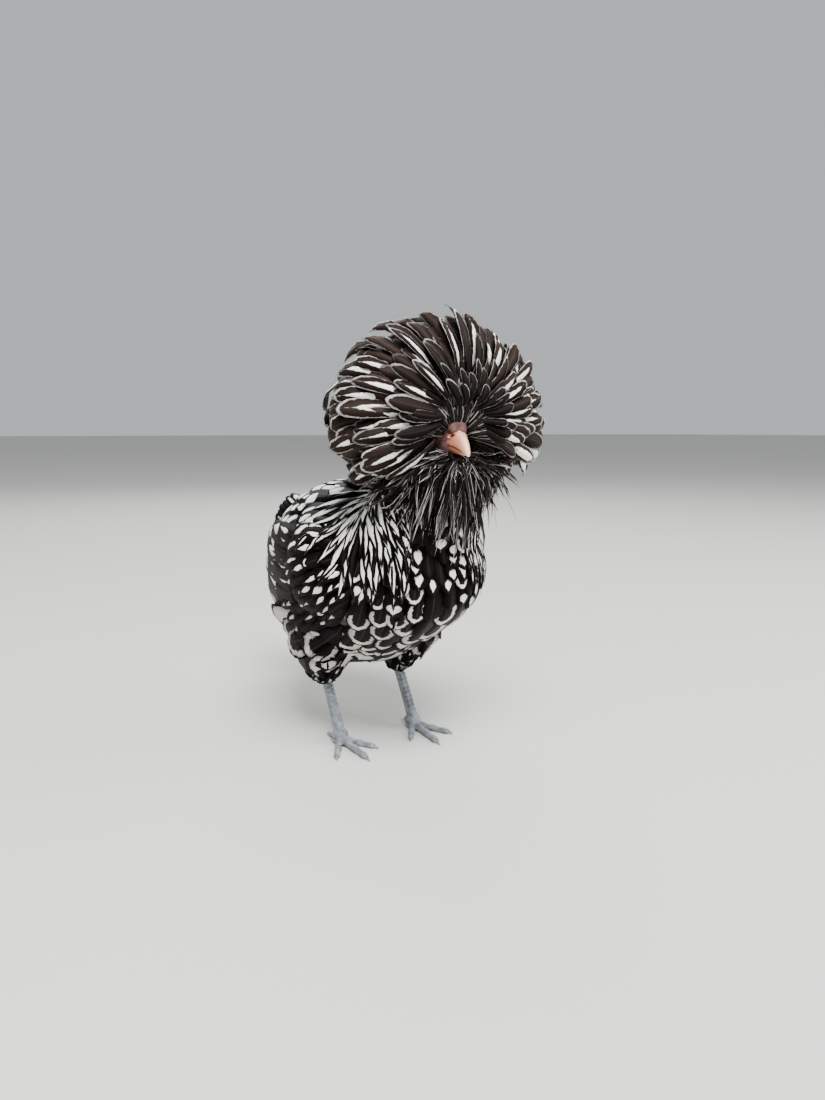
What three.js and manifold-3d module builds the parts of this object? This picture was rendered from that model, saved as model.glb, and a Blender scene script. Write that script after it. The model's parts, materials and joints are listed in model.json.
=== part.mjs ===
// A silver-laced crested and bearded hen, standing, life size, in millimetres.
// +Z is up, the hen faces -Y and its left side is at +X. It is modelled about the ground point midway
// between its feet, and the finished group is then moved so that the origin is the middle of its footprint.
import * as THREE from "three";
import { mergeVertices } from "three/addons/utils/BufferGeometryUtils.js";
import Module from "manifold-3d";

const wasm = await Module();
wasm.setup();

const V = (x, y, z) => new THREE.Vector3(x, y, z);
const rad = THREE.MathUtils.degToRad;
const mix = THREE.MathUtils.lerp;

// Driving sizes
const GAP = 0.3; // clearance between neighbouring parts
const WIDE_GAP = 0.5; // the same beside sharp edges, where it narrows
const VANE_THICK = 0.8; // feather vane at its root, as solid stock
const FEATHER_TILT = 12; // each feather's twist, so that its edge clears its neighbour
const SIDES = [
  ["left", 1],
  ["right", -1],
];

// The feathered body from breast to rump: place along Y, height of back and belly, half width.
const BODY = {
  breastY: -105,
  breastZ: 147,
  rumpY: 136,
  rumpZ: 152,
  // Exponents of the cross-section above and below: 1 is an ellipse, less is boxier, more is leaner.
  squareAbove: 0.86,
  squareBelow: 1.06,
  stations: [
    { y: -99, back: 173, belly: 122, half: 33 },
    { y: -82, back: 191, belly: 105, half: 55 },
    { y: -55, back: 206, belly: 88, half: 70 },
    { y: -20, back: 217, belly: 69, half: 79 },
    { y: 20, back: 222, belly: 52, half: 82 },
    { y: 60, back: 219, belly: 49, half: 79 },
    { y: 92, back: 208, belly: 62, half: 68 },
    { y: 117, back: 192, belly: 90, half: 49 },
    { y: 131, back: 177, belly: 121, half: 27 },
  ],
};

// The neck's feathered column, from inside the shoulders up to the crest: centre, half width and half depth.
const NECK = [
  { y: -42, z: 140, across: 50, deep: 44 },
  { y: -48, z: 165, across: 58, deep: 52 },
  { y: -60, z: 190, across: 54, deep: 46 },
  { y: -70, z: 210, across: 45, deep: 38 },
  { y: -78, z: 228, across: 33, deep: 30 },
  { y: -84, z: 244, across: 21, deep: 22 },
  { y: -88, z: 256, across: 12, deep: 14 },
];
const NECK_LEAN = 4; // the head's offset to the left, reached at the neck's top

// Rows of hackles from the lowest up: height of the roots, and how far the vanes lie above what they cover.
const HACKLES = [
  { z: 190, count: 19, shift: 0, length: 50, steps: 4, lift: 2.9, width: 17 },
  { z: 211, count: 15, shift: 0.5, length: 48, steps: 4, lift: 5.3, width: 16 },
];
const HACKLE_TILT = 5;
const HACKLE_THICK = 0.6;
const HACKLE_FULL = 0.4; // a vane with less than this share of a plain strip's volume is left out
// Hackles keep this far off beard and muffs, and off the wings' tops, which lie out past these places.
const HACKLE_CLEAR = { lobe: 4, out: 40, behind: -68, below: 200 };

// The head's own frame: its origin is midway between the corners of the mouth.
const HEAD = {
  origin: V(4, -115, 254),
  yaw: -6,
  pitch: 11,
  skull: { back: 20, up: 3, length: 23, half: 15.5, height: 17 },
  cheek: { back: 9, up: -2, length: 13, half: 12.5, height: 11 },
  eye: { back: 10.5, up: 5.5, out: 10.2, radius: 5 },
  lid: { radius: 4.9, tube: 0.9, out: 13.9 },
};

// Bill sections in the head's frame: distance forward of the mouth's corners, half width, top, bottom edge.
const UPPER_BILL = [
  { f: -3, half: 8.2, top: 12.5, low: 0.3 },
  { f: 3, half: 7.6, top: 12.2, low: 0.3 },
  { f: 9, half: 6.6, top: 10.6, low: 0.3 },
  { f: 15, half: 5.2, top: 7.6, low: -0.2 },
  { f: 20, half: 3.6, top: 3.6, low: -1.6 },
  { f: 23.6, half: 2, top: -1, low: -3.8 },
];
const LOWER_BILL = [
  { f: -3, half: 7.6, top: -0.3, low: -5.2 },
  { f: 3, half: 7, top: -0.3, low: -5.8 },
  { f: 9, half: 5.8, top: -0.3, low: -5.6 },
  { f: 14.5, half: 4.2, top: -0.8, low: -5 },
  { f: 18.5, half: 2.4, top: -2.2, low: -4.6 },
];
const NOSTRIL = { f: 4.2, up: 8.2, out: 7.6, long: 2.6, high: 1.7, deep: 2.2 };
const COMB = { f: -1.5, up: 15.5, out: 3.1, length: 5.2, half: 4.2, height: 6.2 };

// The crest: a globe of overlapping feathers that spread from the forehead, with half sizes each way.
const CREST = {
  centre: V(8, -86, 273),
  boxy: 0.15,
  half: { left: 94, right: 93, front: 48, rear: 76, top: 79, under: 62 },
  core: { centre: V(5, -81, 280), half: { left: 42, right: 42, front: 24, rear: 38, top: 30, under: 26 } },
  pole: V(-0.1, -0.98, -0.08),
  rows: [11, 29, 48, 67, 86, 105, 124, 143],
  spacing: 24,
  reach: 50,
  width: 23,
  sag: 62, // how far the rows behind hang down towards the nape
  faceSpread: 42, // half angle about straight down where the face is left bare
  faceReach: 120, // polar angle up to which it is left bare
  lowest: { ahead: -0.8, behind: -0.93, from: 0.35 }, // how far down tips may point, before and behind
};

// The beard under the bill and the muff on each cheek are smaller globes of narrow, tapered locks.
const BEARD = {
  centre: V(4, -104, 234),
  half: { left: 32, right: 34, front: 27, rear: 27, top: 20, under: 58 },
  coreShare: 0.5,
  pole: V(-0.05, -0.55, 0.83),
  rows: [40, 66, 92, 118],
  spacing: 17,
  reach: 42,
  width: 16,
  tips: { below: 0.7, ahead: 0.5 }, // where its tips point, in unit directions
  underNeck: { z: 214, margin: 5 }, // below this height it keeps off the neck
};
const MUFF = {
  out: 29,
  y: -89,
  z: 239,
  half: { left: 27, right: 27, front: 27, rear: 32, top: 30, under: 36 },
  coreShare: 0.5,
  pole: { out: -0.2, y: -0.9, z: 0.38 },
  rows: [38, 72, 106],
  spacing: 17,
  reach: 46,
  width: 15,
  tips: { below: 0.8, inward: 0.55 },
  intoBeard: 9, // how deep its locks may reach into the beard
};

// The folded wing on the left side; the right one is its mirror image.
const WING = {
  core: { y: -26, z: 153, along: 37, high: 37, thick: 5.6, rim: 1.6, tilt: -8 },
  rows: [
    { count: 3, root: [-8, 130], by: [0, -2], tip: [126, 139], tipBy: [-6, -5], width: 16, lift: 1.9 },
    { count: 6, root: [-10, 185], by: [-0.5, -10], tip: [114, 179], tipBy: [-3, -9.8], width: 18, lift: 4.2 },
    { count: 6, root: [-20, 186], by: [-0.5, -9.6], tip: [60, 188], tipBy: [-1.5, -10.6], width: 19, lift: 6.7 },
    { count: 4, root: [-42, 179], by: [-0.5, -12], tip: [14, 186], tipBy: [-1.5, -15], width: 22, lift: 8.8 },
  ],
  tiltDeg: 6,
  thick: 0.55,
};

// The tail: paired feathers in a low tent behind the rump, with two tiers of coverts above and one below.
const TAIL = {
  core: { y: 122, z: 160, half: 27, length: 28, height: 21 },
  root: { y: 110, z: 172 },
  roof: { radius: 42, step: 10, under: 1.9, atRoot: 0.6 },
  fan: 0.8, // how much the outer feathers turn outwards, in degrees for each step
  tiers: [
    { pairs: 4, length: 101, shorter: 4, rise: 14, above: 0, width: 20 },
    { pairs: 2, length: 66, shorter: 4, rise: 16, above: 3.6, width: 19 },
    { pairs: 1, length: 44, shorter: 4, rise: 20, above: 7, width: 20 },
  ],
};

const LEG = {
  out: 38,
  ground: -14, // the floor, in the height scale of the body above
  hock: { y: 54, z: 62 },
  foot: { y: 8, z: -6 },
  shank: { front: 5.6, side: 4.6 },
  thigh: [
    { out: 32, y: 8, z: 112, across: 16, deep: 22 },
    { out: 41, y: 17, z: 92, across: 26, deep: 34 },
    { out: 43, y: 29, z: 72, across: 25, deep: 33 },
    { out: 41, y: 37, z: 53, across: 16, deep: 23 },
    { out: 39, y: 37, z: 41, across: 11, deep: 14 },
    { out: 38, y: 36, z: 34, across: 7, deep: 8 },
  ],
  scutes: 10,
};
// Toes: heading from straight ahead (outwards is positive), length to the claw, root radius, claw length.
const TOES = [
  { name: "inner", heading: -33, length: 33, radius: 3.5, claw: 9 },
  { name: "middle", heading: -3, length: 45, radius: 3.9, claw: 11 },
  { name: "outer", heading: 29, length: 36, radius: 3.6, claw: 9.5 },
  { name: "hind", heading: 172, length: 17, radius: 3, claw: 8 },
];

// Seeded random numbers, so that every run gives the same hen.
function dice(seed) {
  let state = seed >>> 0;
  return (spread = 1) => {
    state = (Math.imul(state, 1664525) + 1013904223) >>> 0;
    return (state / 2 ** 31 - 1) * spread;
  };
}

// Closed geometry from rings of equal length between two end points, with its faces pointing out.
function loft(start, rings, end) {
  const points = [start, ...rings.flat(), end];
  const n = rings[0].length;
  const index = [];
  const at = (ring, k) => 1 + ring * n + (k % n);
  for (let k = 0; k < n; k++) {
    index.push(0, at(0, k + 1), at(0, k));
    index.push(points.length - 1, at(rings.length - 1, k), at(rings.length - 1, k + 1));
    for (let r = 0; r + 1 < rings.length; r++) {
      index.push(at(r, k), at(r, k + 1), at(r + 1, k + 1), at(r, k), at(r + 1, k + 1), at(r + 1, k));
    }
  }
  return facingOut(new THREE.BufferGeometry().setFromPoints(points).setIndex(index));
}

// Turns a geometry's faces round where its signed volume is negative.
function facingOut(geometry) {
  const p = geometry.attributes.position;
  const i = geometry.index.array;
  const [a, b, c] = [V(), V(), V()];
  let volume = 0;
  for (let t = 0; t < i.length; t += 3) {
    a.fromBufferAttribute(p, i[t]);
    b.fromBufferAttribute(p, i[t + 1]);
    c.fromBufferAttribute(p, i[t + 2]);
    volume += a.dot(b.cross(c));
  }
  if (volume < 0) {
    for (let t = 0; t < i.length; t += 3) [i[t + 1], i[t + 2]] = [i[t + 2], i[t + 1]];
  }
  return geometry;
}

// An ellipsoid about a centre, its half sizes along the axes of a frame matrix.
function ellipsoid(centre, half, frame = new THREE.Matrix4(), around = 24, down = 16) {
  const ball = new THREE.SphereGeometry(1, around, down);
  ball.deleteAttribute("normal");
  ball.deleteAttribute("uv");
  const closed = mergeVertices(ball, 1e-4);
  closed.scale(half.x, half.y, half.z).applyMatrix4(frame).translate(centre.x, centre.y, centre.z);
  return facingOut(closed);
}

// A copy of a closed geometry with every vertex moved outwards along its normal.
function inflated(geometry, by) {
  const g = geometry.clone();
  g.computeVertexNormals();
  const p = g.attributes.position;
  const n = g.attributes.normal;
  for (let k = 0; k < p.count; k++) {
    p.setXYZ(k, p.getX(k) + n.getX(k) * by, p.getY(k) + n.getY(k) * by, p.getZ(k) + n.getZ(k) * by);
  }
  return g;
}

// Solids
function solid(geometry) {
  const vertProperties = new Float32Array(geometry.attributes.position.array);
  const triVerts = new Uint32Array(geometry.index.array);
  return new wasm.Manifold(new wasm.Mesh({ numProp: 3, vertProperties, triVerts }));
}

function largestBody(made) {
  return made.decompose().reduce((best, body) => (body.volume() > best.volume() ? body : best));
}

function fused(geometries) {
  return wasm.Manifold.union(geometries.map(solid));
}

function lessThan(made, neighbours, gap = GAP) {
  return neighbours.reduce((left, g) => left.subtract(solid(inflated(g, gap))), made);
}

const hen = new THREE.Group();
const COLOURS = {
  white: [0xd9d7d0, 0.75],
  black: [0x1d1b1c, 0.6],
  skin: [0xb56f63, 0.6],
  horn: [0xd9a58a, 0.4],
  slate: [0x7d838a, 0.55],
  claw: [0x9a948c, 0.4],
  eye: [0x5a2410, 0.1],
};

function addPart(name, made, colour) {
  const mesh = largestBody(made).getMesh();
  const [hex, roughness] = COLOURS[colour];
  const geometry = new THREE.BufferGeometry();
  geometry.setAttribute("position", new THREE.BufferAttribute(new Float32Array(mesh.vertProperties), 3));
  geometry.setIndex(new THREE.BufferAttribute(new Uint32Array(mesh.triVerts), 1));
  const material = new THREE.MeshStandardMaterial({ color: hex, roughness, metalness: 0 });
  const part = new THREE.Mesh(geometry, material);
  part.name = name;
  hen.add(part);
}

// Feathers
const CONTOUR = [
  [0, 0.16],
  [0.74, 1],
  [1, 0.45],
];
const LOCK = [
  [0, 0.18],
  [0.6, 1],
  [1, 0.2],
];
const HACKLE = [
  [0, 0.4],
  [0.4, 0.85],
  [0.75, 1],
  [1, 0.3],
];
const QUILL = [
  [0, 0.3],
  [0.75, 1],
  [1, 0.5],
];

// A flat feather along a curve: a strip whose upper side faces `face(t)`, with its width from the outline.
function vane(curve, face, width, outline, thick = VANE_THICK) {
  const rings = outline.map(([t, share]) => {
    const at = curve.getPoint(t);
    const along = curve.getTangent(t);
    const side = V().crossVectors(along, face(t)).normalize().multiplyScalar((width * share) / 2);
    const up = V().crossVectors(side, along).normalize().multiplyScalar((thick * mix(1, 0.6, t)) / 2);
    return [
      at.clone().sub(side).add(up),
      at.clone().add(side).add(up),
      at.clone().add(side).sub(up),
      at.clone().sub(side).sub(up),
    ];
  });
  const index = [0, 1, 2, 0, 2, 3];
  for (let r = 0; r + 1 < rings.length; r++) {
    const [a, b] = [4 * r, 4 * r + 4];
    index.push(a, b, b + 1, a, b + 1, a + 1); // upper side
    index.push(a + 2, b + 2, b + 3, a + 2, b + 3, a + 3); // under side
    index.push(a + 1, b + 1, b + 2, a + 1, b + 2, a + 2);
    index.push(a + 3, b + 3, b, a + 3, b, a);
  }
  const e = 4 * (rings.length - 1);
  index.push(e, e + 2, e + 1, e, e + 3, e + 2);
  return facingOut(new THREE.BufferGeometry().setFromPoints(rings.flat()).setIndex(index));
}

// A globe is a lopsided ellipsoid, its lower half a little boxy. Its size in a unit direction:
function globeReach(globe, d) {
  const power = 2 + (globe.boxy ?? 0) * Math.min(1, Math.max(0, -2 * d.z));
  return (Math.abs(d.x) ** power + Math.abs(d.y) ** power + Math.abs(d.z) ** power) ** (-1 / power);
}
function globeHalf(globe, d) {
  const h = globe.half;
  return V(d.x > 0 ? h.left : h.right, d.y > 0 ? h.rear : h.front, d.z > 0 ? h.top : h.under);
}
function onGlobe(globe, d, share = 1) {
  return globeHalf(globe, d).multiply(d).multiplyScalar(globeReach(globe, d) * share).add(globe.centre);
}
function insideGlobe(globe, p, margin) {
  const d = p.clone().sub(globe.centre);
  d.divide(globeHalf(globe, d).addScalar(margin));
  return d.length() < globeReach(globe, d.clone().normalize());
}

function globeSolid(globe, share = 1, around = 20, down = 14) {
  const ball = ellipsoid(V(0, 0, 0), V(1, 1, 1), undefined, around, down);
  const p = ball.attributes.position;
  for (let k = 0; k < p.count; k++) {
    const q = onGlobe(globe, V(p.getX(k), p.getY(k), p.getZ(k)), share);
    p.setXYZ(k, q.x, q.y, q.z);
  }
  return ball;
}
function shrunk(globe, share) {
  const half = Object.fromEntries(Object.entries(globe.half).map(([way, size]) => [way, size * share]));
  return { ...globe, half };
}

// Direction at a polar angle from the globe's pole and a turn about it, 0 being upwards.
function globeDirection(globe, polar, turn) {
  const pole = globe.pole.clone().normalize();
  const up = V(0, 0, 1).addScaledVector(pole, -pole.z).normalize();
  const side = V().crossVectors(up, pole);
  return pole
    .multiplyScalar(Math.cos(polar))
    .addScaledVector(up, Math.sin(polar) * Math.cos(turn))
    .addScaledVector(side, Math.sin(polar) * Math.sin(turn))
    .applyAxisAngle(V(1, 0, 0), -rad(globe.sag ?? 0) * (polar / Math.PI) ** 1.2);
}

// Rows of feathers from a globe's core to its surface, each row over the one behind it like a cone's scales.
function globeFeathers(globe, outline, keep, seed) {
  const roll = dice(seed);
  const made = [];
  const meanHalf = (globe.half.left + globe.half.top) / 2;
  globe.rows.forEach((degrees, row) => {
    const girth = 2 * Math.PI * meanHalf * Math.sin(rad(degrees));
    const count = Math.max(6, Math.round(girth / globe.spacing));
    for (let k = 0; k < count; k++) {
      const polar = rad(degrees + roll(2.5));
      const turn = ((k + (row % 2) / 2 + roll(0.12)) / count) * 2 * Math.PI;
      const long = 1 + roll(0.05);
      const width = globe.width * (1 + roll(0.12));
      const tipWay = globeDirection(globe, polar, turn);
      if (!keep({ polar, turn, tipWay })) continue;
      const swing = Math.min(rad(globe.reach), polar * 0.6);
      const way = (t) => globeDirection(globe, polar - swing * (1 - t), turn);
      const root = onGlobe(globe.core, way(0), 0.92);
      const bend = onGlobe(globe.core, way(0.55)).lerp(onGlobe(globe, way(0.55)), 0.6);
      const tip = onGlobe(globe, tipWay, long);
      const curve = new THREE.QuadraticBezierCurve3(root, bend, tip);
      const tilt = rad(FEATHER_TILT);
      const face = (t) => {
        const out = way(t);
        const side = V().crossVectors(curve.getTangent(t), out).normalize();
        return out.addScaledVector(side, Math.tan(tilt));
      };
      if (globe.avoid && [0.45, 0.6, 0.75, 0.9, 1].some((t) => globe.avoid(curve.getPoint(t)))) continue;
      made.push(vane(curve, face, width, outline));
    }
  });
  return made;
}

// Body
class FeatheredBody {
  constructor(form) {
    const ends = [V(form.breastY, form.breastZ, 0), V(form.rumpY, form.rumpZ, 0)];
    const backs = form.stations.map((s) => V(s.y, s.back, s.half));
    const bellies = form.stations.map((s) => V(s.y, s.belly, -s.half)).reverse();
    const around = [ends[0], ...backs, ends[1], ...bellies];
    this.outline = new THREE.CatmullRomCurve3(around, true, "catmullrom", 0.5);
    this.form = form;
  }
  // A point of the surface: t from breast to rump, angle 0 at the left side and 90 degrees at the back.
  point(t, angle) {
    const back = this.outline.getPoint(t / 2);
    const belly = this.outline.getPoint(1 - t / 2);
    const square = Math.sin(angle) > 0 ? this.form.squareAbove : this.form.squareBelow;
    const power = (v) => Math.sign(v) * Math.abs(v) ** square;
    const rise = (power(Math.sin(angle)) + 1) / 2;
    const half = (back.z - belly.z) / 2;
    return V(half * power(Math.cos(angle)), mix(belly.x, back.x, rise), mix(belly.y, back.y, rise));
  }
  geometry(rings, around) {
    const circles = [];
    for (let r = 1; r < rings; r++) {
      const t = (1 - Math.cos((Math.PI * r) / rings)) / 2;
      circles.push(Array.from({ length: around }, (_, k) => this.point(t, (2 * Math.PI * k) / around)));
    }
    return loft(this.point(0, 0), circles, this.point(1, 0));
  }
  // The nearest place on the surface to a point, with the outward normal there.
  nearest(p) {
    let best = { d: Infinity, t: 0, a: 0 };
    const tryAt = (t, a) => {
      const d = this.point(t, a).distanceToSquared(p);
      if (d < best.d) best = { d, t, a };
    };
    for (let t = 0.04; t < 1; t += 0.04) {
      for (let k = 0; k < 32; k++) tryAt(t, (k * Math.PI) / 16);
    }
    for (let step = 0.02; step > 2e-4; step /= 2) {
      const { t, a } = best;
      for (const [dt, da] of [[1, 0], [-1, 0], [0, 5], [0, -5]]) {
        tryAt(Math.min(0.985, Math.max(0.015, t + dt * step)), a + da * step);
      }
    }
    const at = this.point(best.t, best.a);
    const alongT = this.point(best.t + 0.01, best.a).sub(this.point(best.t - 0.01, best.a));
    const alongA = this.point(best.t, best.a + 0.03).sub(this.point(best.t, best.a - 0.03));
    const normal = V().crossVectors(alongT, alongA).normalize();
    const middle = V(0, at.y, 140);
    if (normal.dot(at.clone().sub(middle)) < 0) normal.negate();
    return { at, normal };
  }
}

const body = new FeatheredBody(BODY);
const torso = body.geometry(18, 24);

// Neck
function column(stations, around = 20) {
  const rings = stations.map((s) =>
    Array.from({ length: around }, (_, k) => {
      const a = (2 * Math.PI * k) / around;
      return V((s.x ?? 0) + s.across * Math.cos(a), s.y + s.deep * Math.sin(a), s.z);
    }),
  );
  const [first, last] = [stations[0], stations[stations.length - 1]];
  return loft(V(first.x ?? 0, first.y, first.z - 2), rings, V(last.x ?? 0, last.y, last.z + 2));
}
const neckTop = NECK[NECK.length - 1].z;
const neckForm = NECK.map((s) => {
  const up = THREE.MathUtils.inverseLerp(NECK[0].z, neckTop, s.z);
  return { ...s, x: NECK_LEAN * up };
});
const neck = column(neckForm);
// The neck's section at a height.
function neckAt(z) {
  const above = Math.max(1, neckForm.findIndex((s) => s.z >= z));
  const [a, b] = [neckForm[above - 1], neckForm[above]];
  const t = (z - a.z) / (b.z - a.z);
  return Object.fromEntries(["x", "y", "across", "deep"].map((k) => [k, mix(a[k], b[k], t)]));
}
function insideNeck(p, margin) {
  if (p.z < NECK[0].z || p.z > neckTop) return false;
  const s = neckAt(p.z);
  return Math.hypot((p.x - s.x) / (s.across + margin), (p.y - s.y) / (s.deep + margin)) < 1;
}

// Moves a point to a height above the neck or the body, whichever lies further out there.
function overCoat(p, lift) {
  for (let pass = 0; pass < 3; pass++) {
    const { at, normal } = body.nearest(p);
    const aboveBody = p.clone().sub(at).dot(normal);
    const s = neckAt(Math.min(neckTop, Math.max(NECK[0].z, p.z)));
    const out = V((p.x - s.x) / s.across, (p.y - s.y) / s.deep, 0);
    const aboveNeck = ((out.length() - 1) * (s.across + s.deep)) / 2;
    const radial = V(out.x / s.across, out.y / s.deep, 0.012).normalize();
    if (aboveNeck < aboveBody) p.addScaledVector(radial, lift - aboveNeck);
    else p.addScaledVector(normal, lift - aboveBody);
  }
  return p;
}

// Hackles: rows of narrow feathers that leave the neck and drape over the shoulders.
function drape(start, out, row) {
  const points = [start];
  for (let k = 0; k < row.steps; k++) {
    const last = points[k];
    const before = k ? last.clone().sub(points[k - 1]).normalize() : V();
    const fall = out.clone().multiplyScalar(0.3).setZ(-0.95).add(before).normalize();
    points.push(overCoat(last.clone().addScaledVector(fall, row.length / row.steps), row.lift));
  }
  return new THREE.CatmullRomCurve3(points);
}
function hackleFeathers(clear, seed) {
  const roll = dice(seed);
  const made = [];
  for (const row of HACKLES) {
    const s = neckAt(row.z);
    for (let k = 0; k < row.count; k++) {
      const a = ((k + row.shift) / row.count) * 2 * Math.PI + roll(0.04);
      const out = V(Math.cos(a), Math.sin(a), 0);
      const start = V(s.x + (s.across - 2.5) * out.x, s.y + (s.deep - 2.5) * out.y, row.z);
      const curve = drape(start, out, { ...row, length: row.length * (1 + roll(0.08)) });
      if (![0.3, 0.6, 0.8, 1].every((t) => clear(curve.getPoint(t)))) continue;
      const face = (t) => {
        const p = curve.getPoint(t);
        const out = overCoat(p.clone(), row.lift + 20).sub(p);
        return out.applyAxisAngle(curve.getTangent(t), rad(HACKLE_TILT));
      };
      const feather = vane(curve, face, row.width, HACKLE, HACKLE_THICK);
      const strip = row.length * row.width * HACKLE_THICK;
      if (solid(feather).volume() > HACKLE_FULL * strip) made.push(feather);
    }
  }
  return made;
}

// Head
const forward = V(Math.sin(rad(HEAD.yaw)), -Math.cos(rad(HEAD.yaw)), 0);
const leftward = V(Math.cos(rad(HEAD.yaw)), Math.sin(rad(HEAD.yaw)), 0);
const headFrame = new THREE.Matrix4().makeBasis(leftward, forward.clone().negate(), V(0, 0, 1));
headFrame.multiply(new THREE.Matrix4().makeRotationX(rad(HEAD.pitch)));
// A place in the head's frame: to the left, forward of the mouth's corners, and up.
function onHead(left, ahead, up) {
  return V(left, -ahead, up).applyMatrix4(headFrame).add(HEAD.origin);
}
const headBall = (s, grow = 0) =>
  ellipsoid(onHead(0, -s.back, s.up), V(s.half + grow, s.length + grow, s.height + grow), headFrame, 14, 9);
const skull = headBall(HEAD.skull);
const cheeks = headBall(HEAD.cheek);

// One jaw of the bill: each section is an arch over the flat edge where the jaws meet.
function jaw(stations, edge, crown, tip) {
  const steps = 8;
  const rings = stations.map((s) => {
    const arch = Array.from({ length: steps + 1 }, (_, k) => {
      const a = (Math.PI * k) / steps;
      return onHead(s.half * Math.cos(a), s.f, mix(s[edge], s[crown], Math.sin(a)));
    });
    return [...arch, onHead(0, s.f, s[edge])];
  });
  const base = stations[0];
  return loft(onHead(0, base.f - 1, (base.top + base.low) / 2), rings, tip);
}
const upperBill = jaw(UPPER_BILL, "low", "top", onHead(0, 25, -4.4));
const lowerBill = jaw(LOWER_BILL, "top", "low", onHead(0, 20, -3.6));
const nostrilSize = V(NOSTRIL.deep, NOSTRIL.long, NOSTRIL.high);
const nostrils = SIDES.map(([, s]) =>
  ellipsoid(onHead(s * NOSTRIL.out, NOSTRIL.f, NOSTRIL.up), nostrilSize, headFrame, 8, 6),
);
const combLobes = SIDES.map(([, s]) =>
  ellipsoid(onHead(s * COMB.out, COMB.f, COMB.up), V(COMB.half, COMB.length, COMB.height), headFrame, 10, 6),
);
const eyes = SIDES.map(([, s]) => {
  const e = HEAD.eye;
  return ellipsoid(onHead(s * e.out, -e.back, e.up), V(e.radius, e.radius, e.radius), headFrame, 10, 8);
});
const lids = SIDES.map(([, s]) => {
  const ring = new THREE.TorusGeometry(HEAD.lid.radius, HEAD.lid.tube, 5, 12).rotateY(Math.PI / 2);
  ring.deleteAttribute("normal");
  ring.deleteAttribute("uv");
  const at = onHead(s * HEAD.lid.out, -HEAD.eye.back, HEAD.eye.up);
  return facingOut(mergeVertices(ring.applyMatrix4(headFrame).translate(at.x, at.y, at.z), 1e-4));
});

// Crest, beard and muffs
const muffs = SIDES.map(([, s]) => ({
  ...MUFF,
  centre: V(4 + s * MUFF.out, MUFF.y, MUFF.z),
  pole: V(s * MUFF.pole.out, MUFF.pole.y, MUFF.pole.z),
}));
const withCore = (globe) => ({ ...globe, core: shrunk(globe, globe.coreShare) });
const beardLobes = [BEARD, ...muffs].map(withCore);
const [beardLobe, ...muffLobes] = beardLobes;
const faceClear = {
  centre: onHead(0, -2, 3),
  half: { left: 17, right: 17, front: 40, rear: 18, top: 20, under: 11 },
};
const crest = {
  ...CREST,
  avoid: (p) =>
    beardLobes.some((lobe) => insideGlobe(lobe, p, 1)) || insideGlobe(faceClear, p, 2) || insideNeck(p, 3),
};
const overFace = ({ polar, turn, tipWay }) => {
  const belowPole = Math.cos(turn - Math.PI) > Math.cos(rad(CREST.faceSpread));
  const { ahead, behind, from } = CREST.lowest;
  return !(belowPole && polar < rad(CREST.faceReach)) && tipWay.z > (tipWay.y > from ? behind : ahead);
};
const crestCore = globeSolid(CREST.core, 1, 10, 7);
const crestFeathers = globeFeathers(crest, CONTOUR, overFace, 11);

const belowBill = ({ tipWay }) => tipWay.z < BEARD.tips.below && tipWay.y < BEARD.tips.ahead;
const beardAvoids = (p) =>
  insideGlobe(faceClear, p, 0) || (p.z < BEARD.underNeck.z && insideNeck(p, BEARD.underNeck.margin));
const beardFeathers = globeFeathers({ ...beardLobe, avoid: beardAvoids }, LOCK, belowBill, 21);
const muffFeathers = muffLobes.flatMap((muff, k) =>
  globeFeathers(
    { ...muff, avoid: (p) => beardAvoids(p) || insideGlobe(beardLobe, p, -MUFF.intoBeard) },
    LOCK,
    ({ tipWay }) => tipWay.z < MUFF.tips.below && tipWay.x * (k ? -1 : 1) > -MUFF.tips.inward,
    31 + k,
  ),
);

// Wings
// A place over the body's left side, seen from the side, at a height above the feathered surface.
function overSide(y, z, height) {
  const { at, normal } = body.nearest(V(94, y, z));
  return { p: at.addScaledVector(normal, height), normal };
}
const WING_END = 92; // past this the body curves in and the flight feathers run straight on
function wingCurve(root, tip, lift) {
  const points = [0, 0.35, 0.7, 1].map((t) => {
    const [y, z] = [mix(root[0], tip[0], t), mix(root[1], tip[1], t)];
    if (y <= WING_END) return overSide(y, z, lift).p;
    const near = overSide(WING_END, z, lift).p;
    const before = overSide(WING_END - 20, z, lift).p;
    return near.add(near.clone().sub(before).multiplyScalar((y - WING_END) / 20));
  });
  return new THREE.CatmullRomCurve3(points);
}
function wingCore() {
  const c = WING.core;
  const around = 16;
  const ringShares = [0.4, 0.75, 1];
  const layer = (outer) =>
    ringShares.map((share) =>
      Array.from({ length: around }, (_, k) => {
        const a = (2 * Math.PI * k) / around;
        const [u, v] = [share * c.along * Math.cos(a), share * c.high * Math.sin(a)];
        const tilt = rad(c.tilt);
        const y = c.y + u * Math.cos(tilt) - v * Math.sin(tilt);
        const z = c.z + u * Math.sin(tilt) + v * Math.cos(tilt);
        const thick = c.rim + c.thick * Math.sqrt(1 - share * share);
        return overSide(y, z, outer ? GAP + thick : GAP - 1).p;
      }),
    );
  const inner = layer(false);
  const outer = layer(true).reverse();
  const under = overSide(c.y, c.z, GAP - 1).p;
  return loft(under, [...inner, ...outer], overSide(c.y, c.z, GAP + c.rim + c.thick).p);
}
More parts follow.
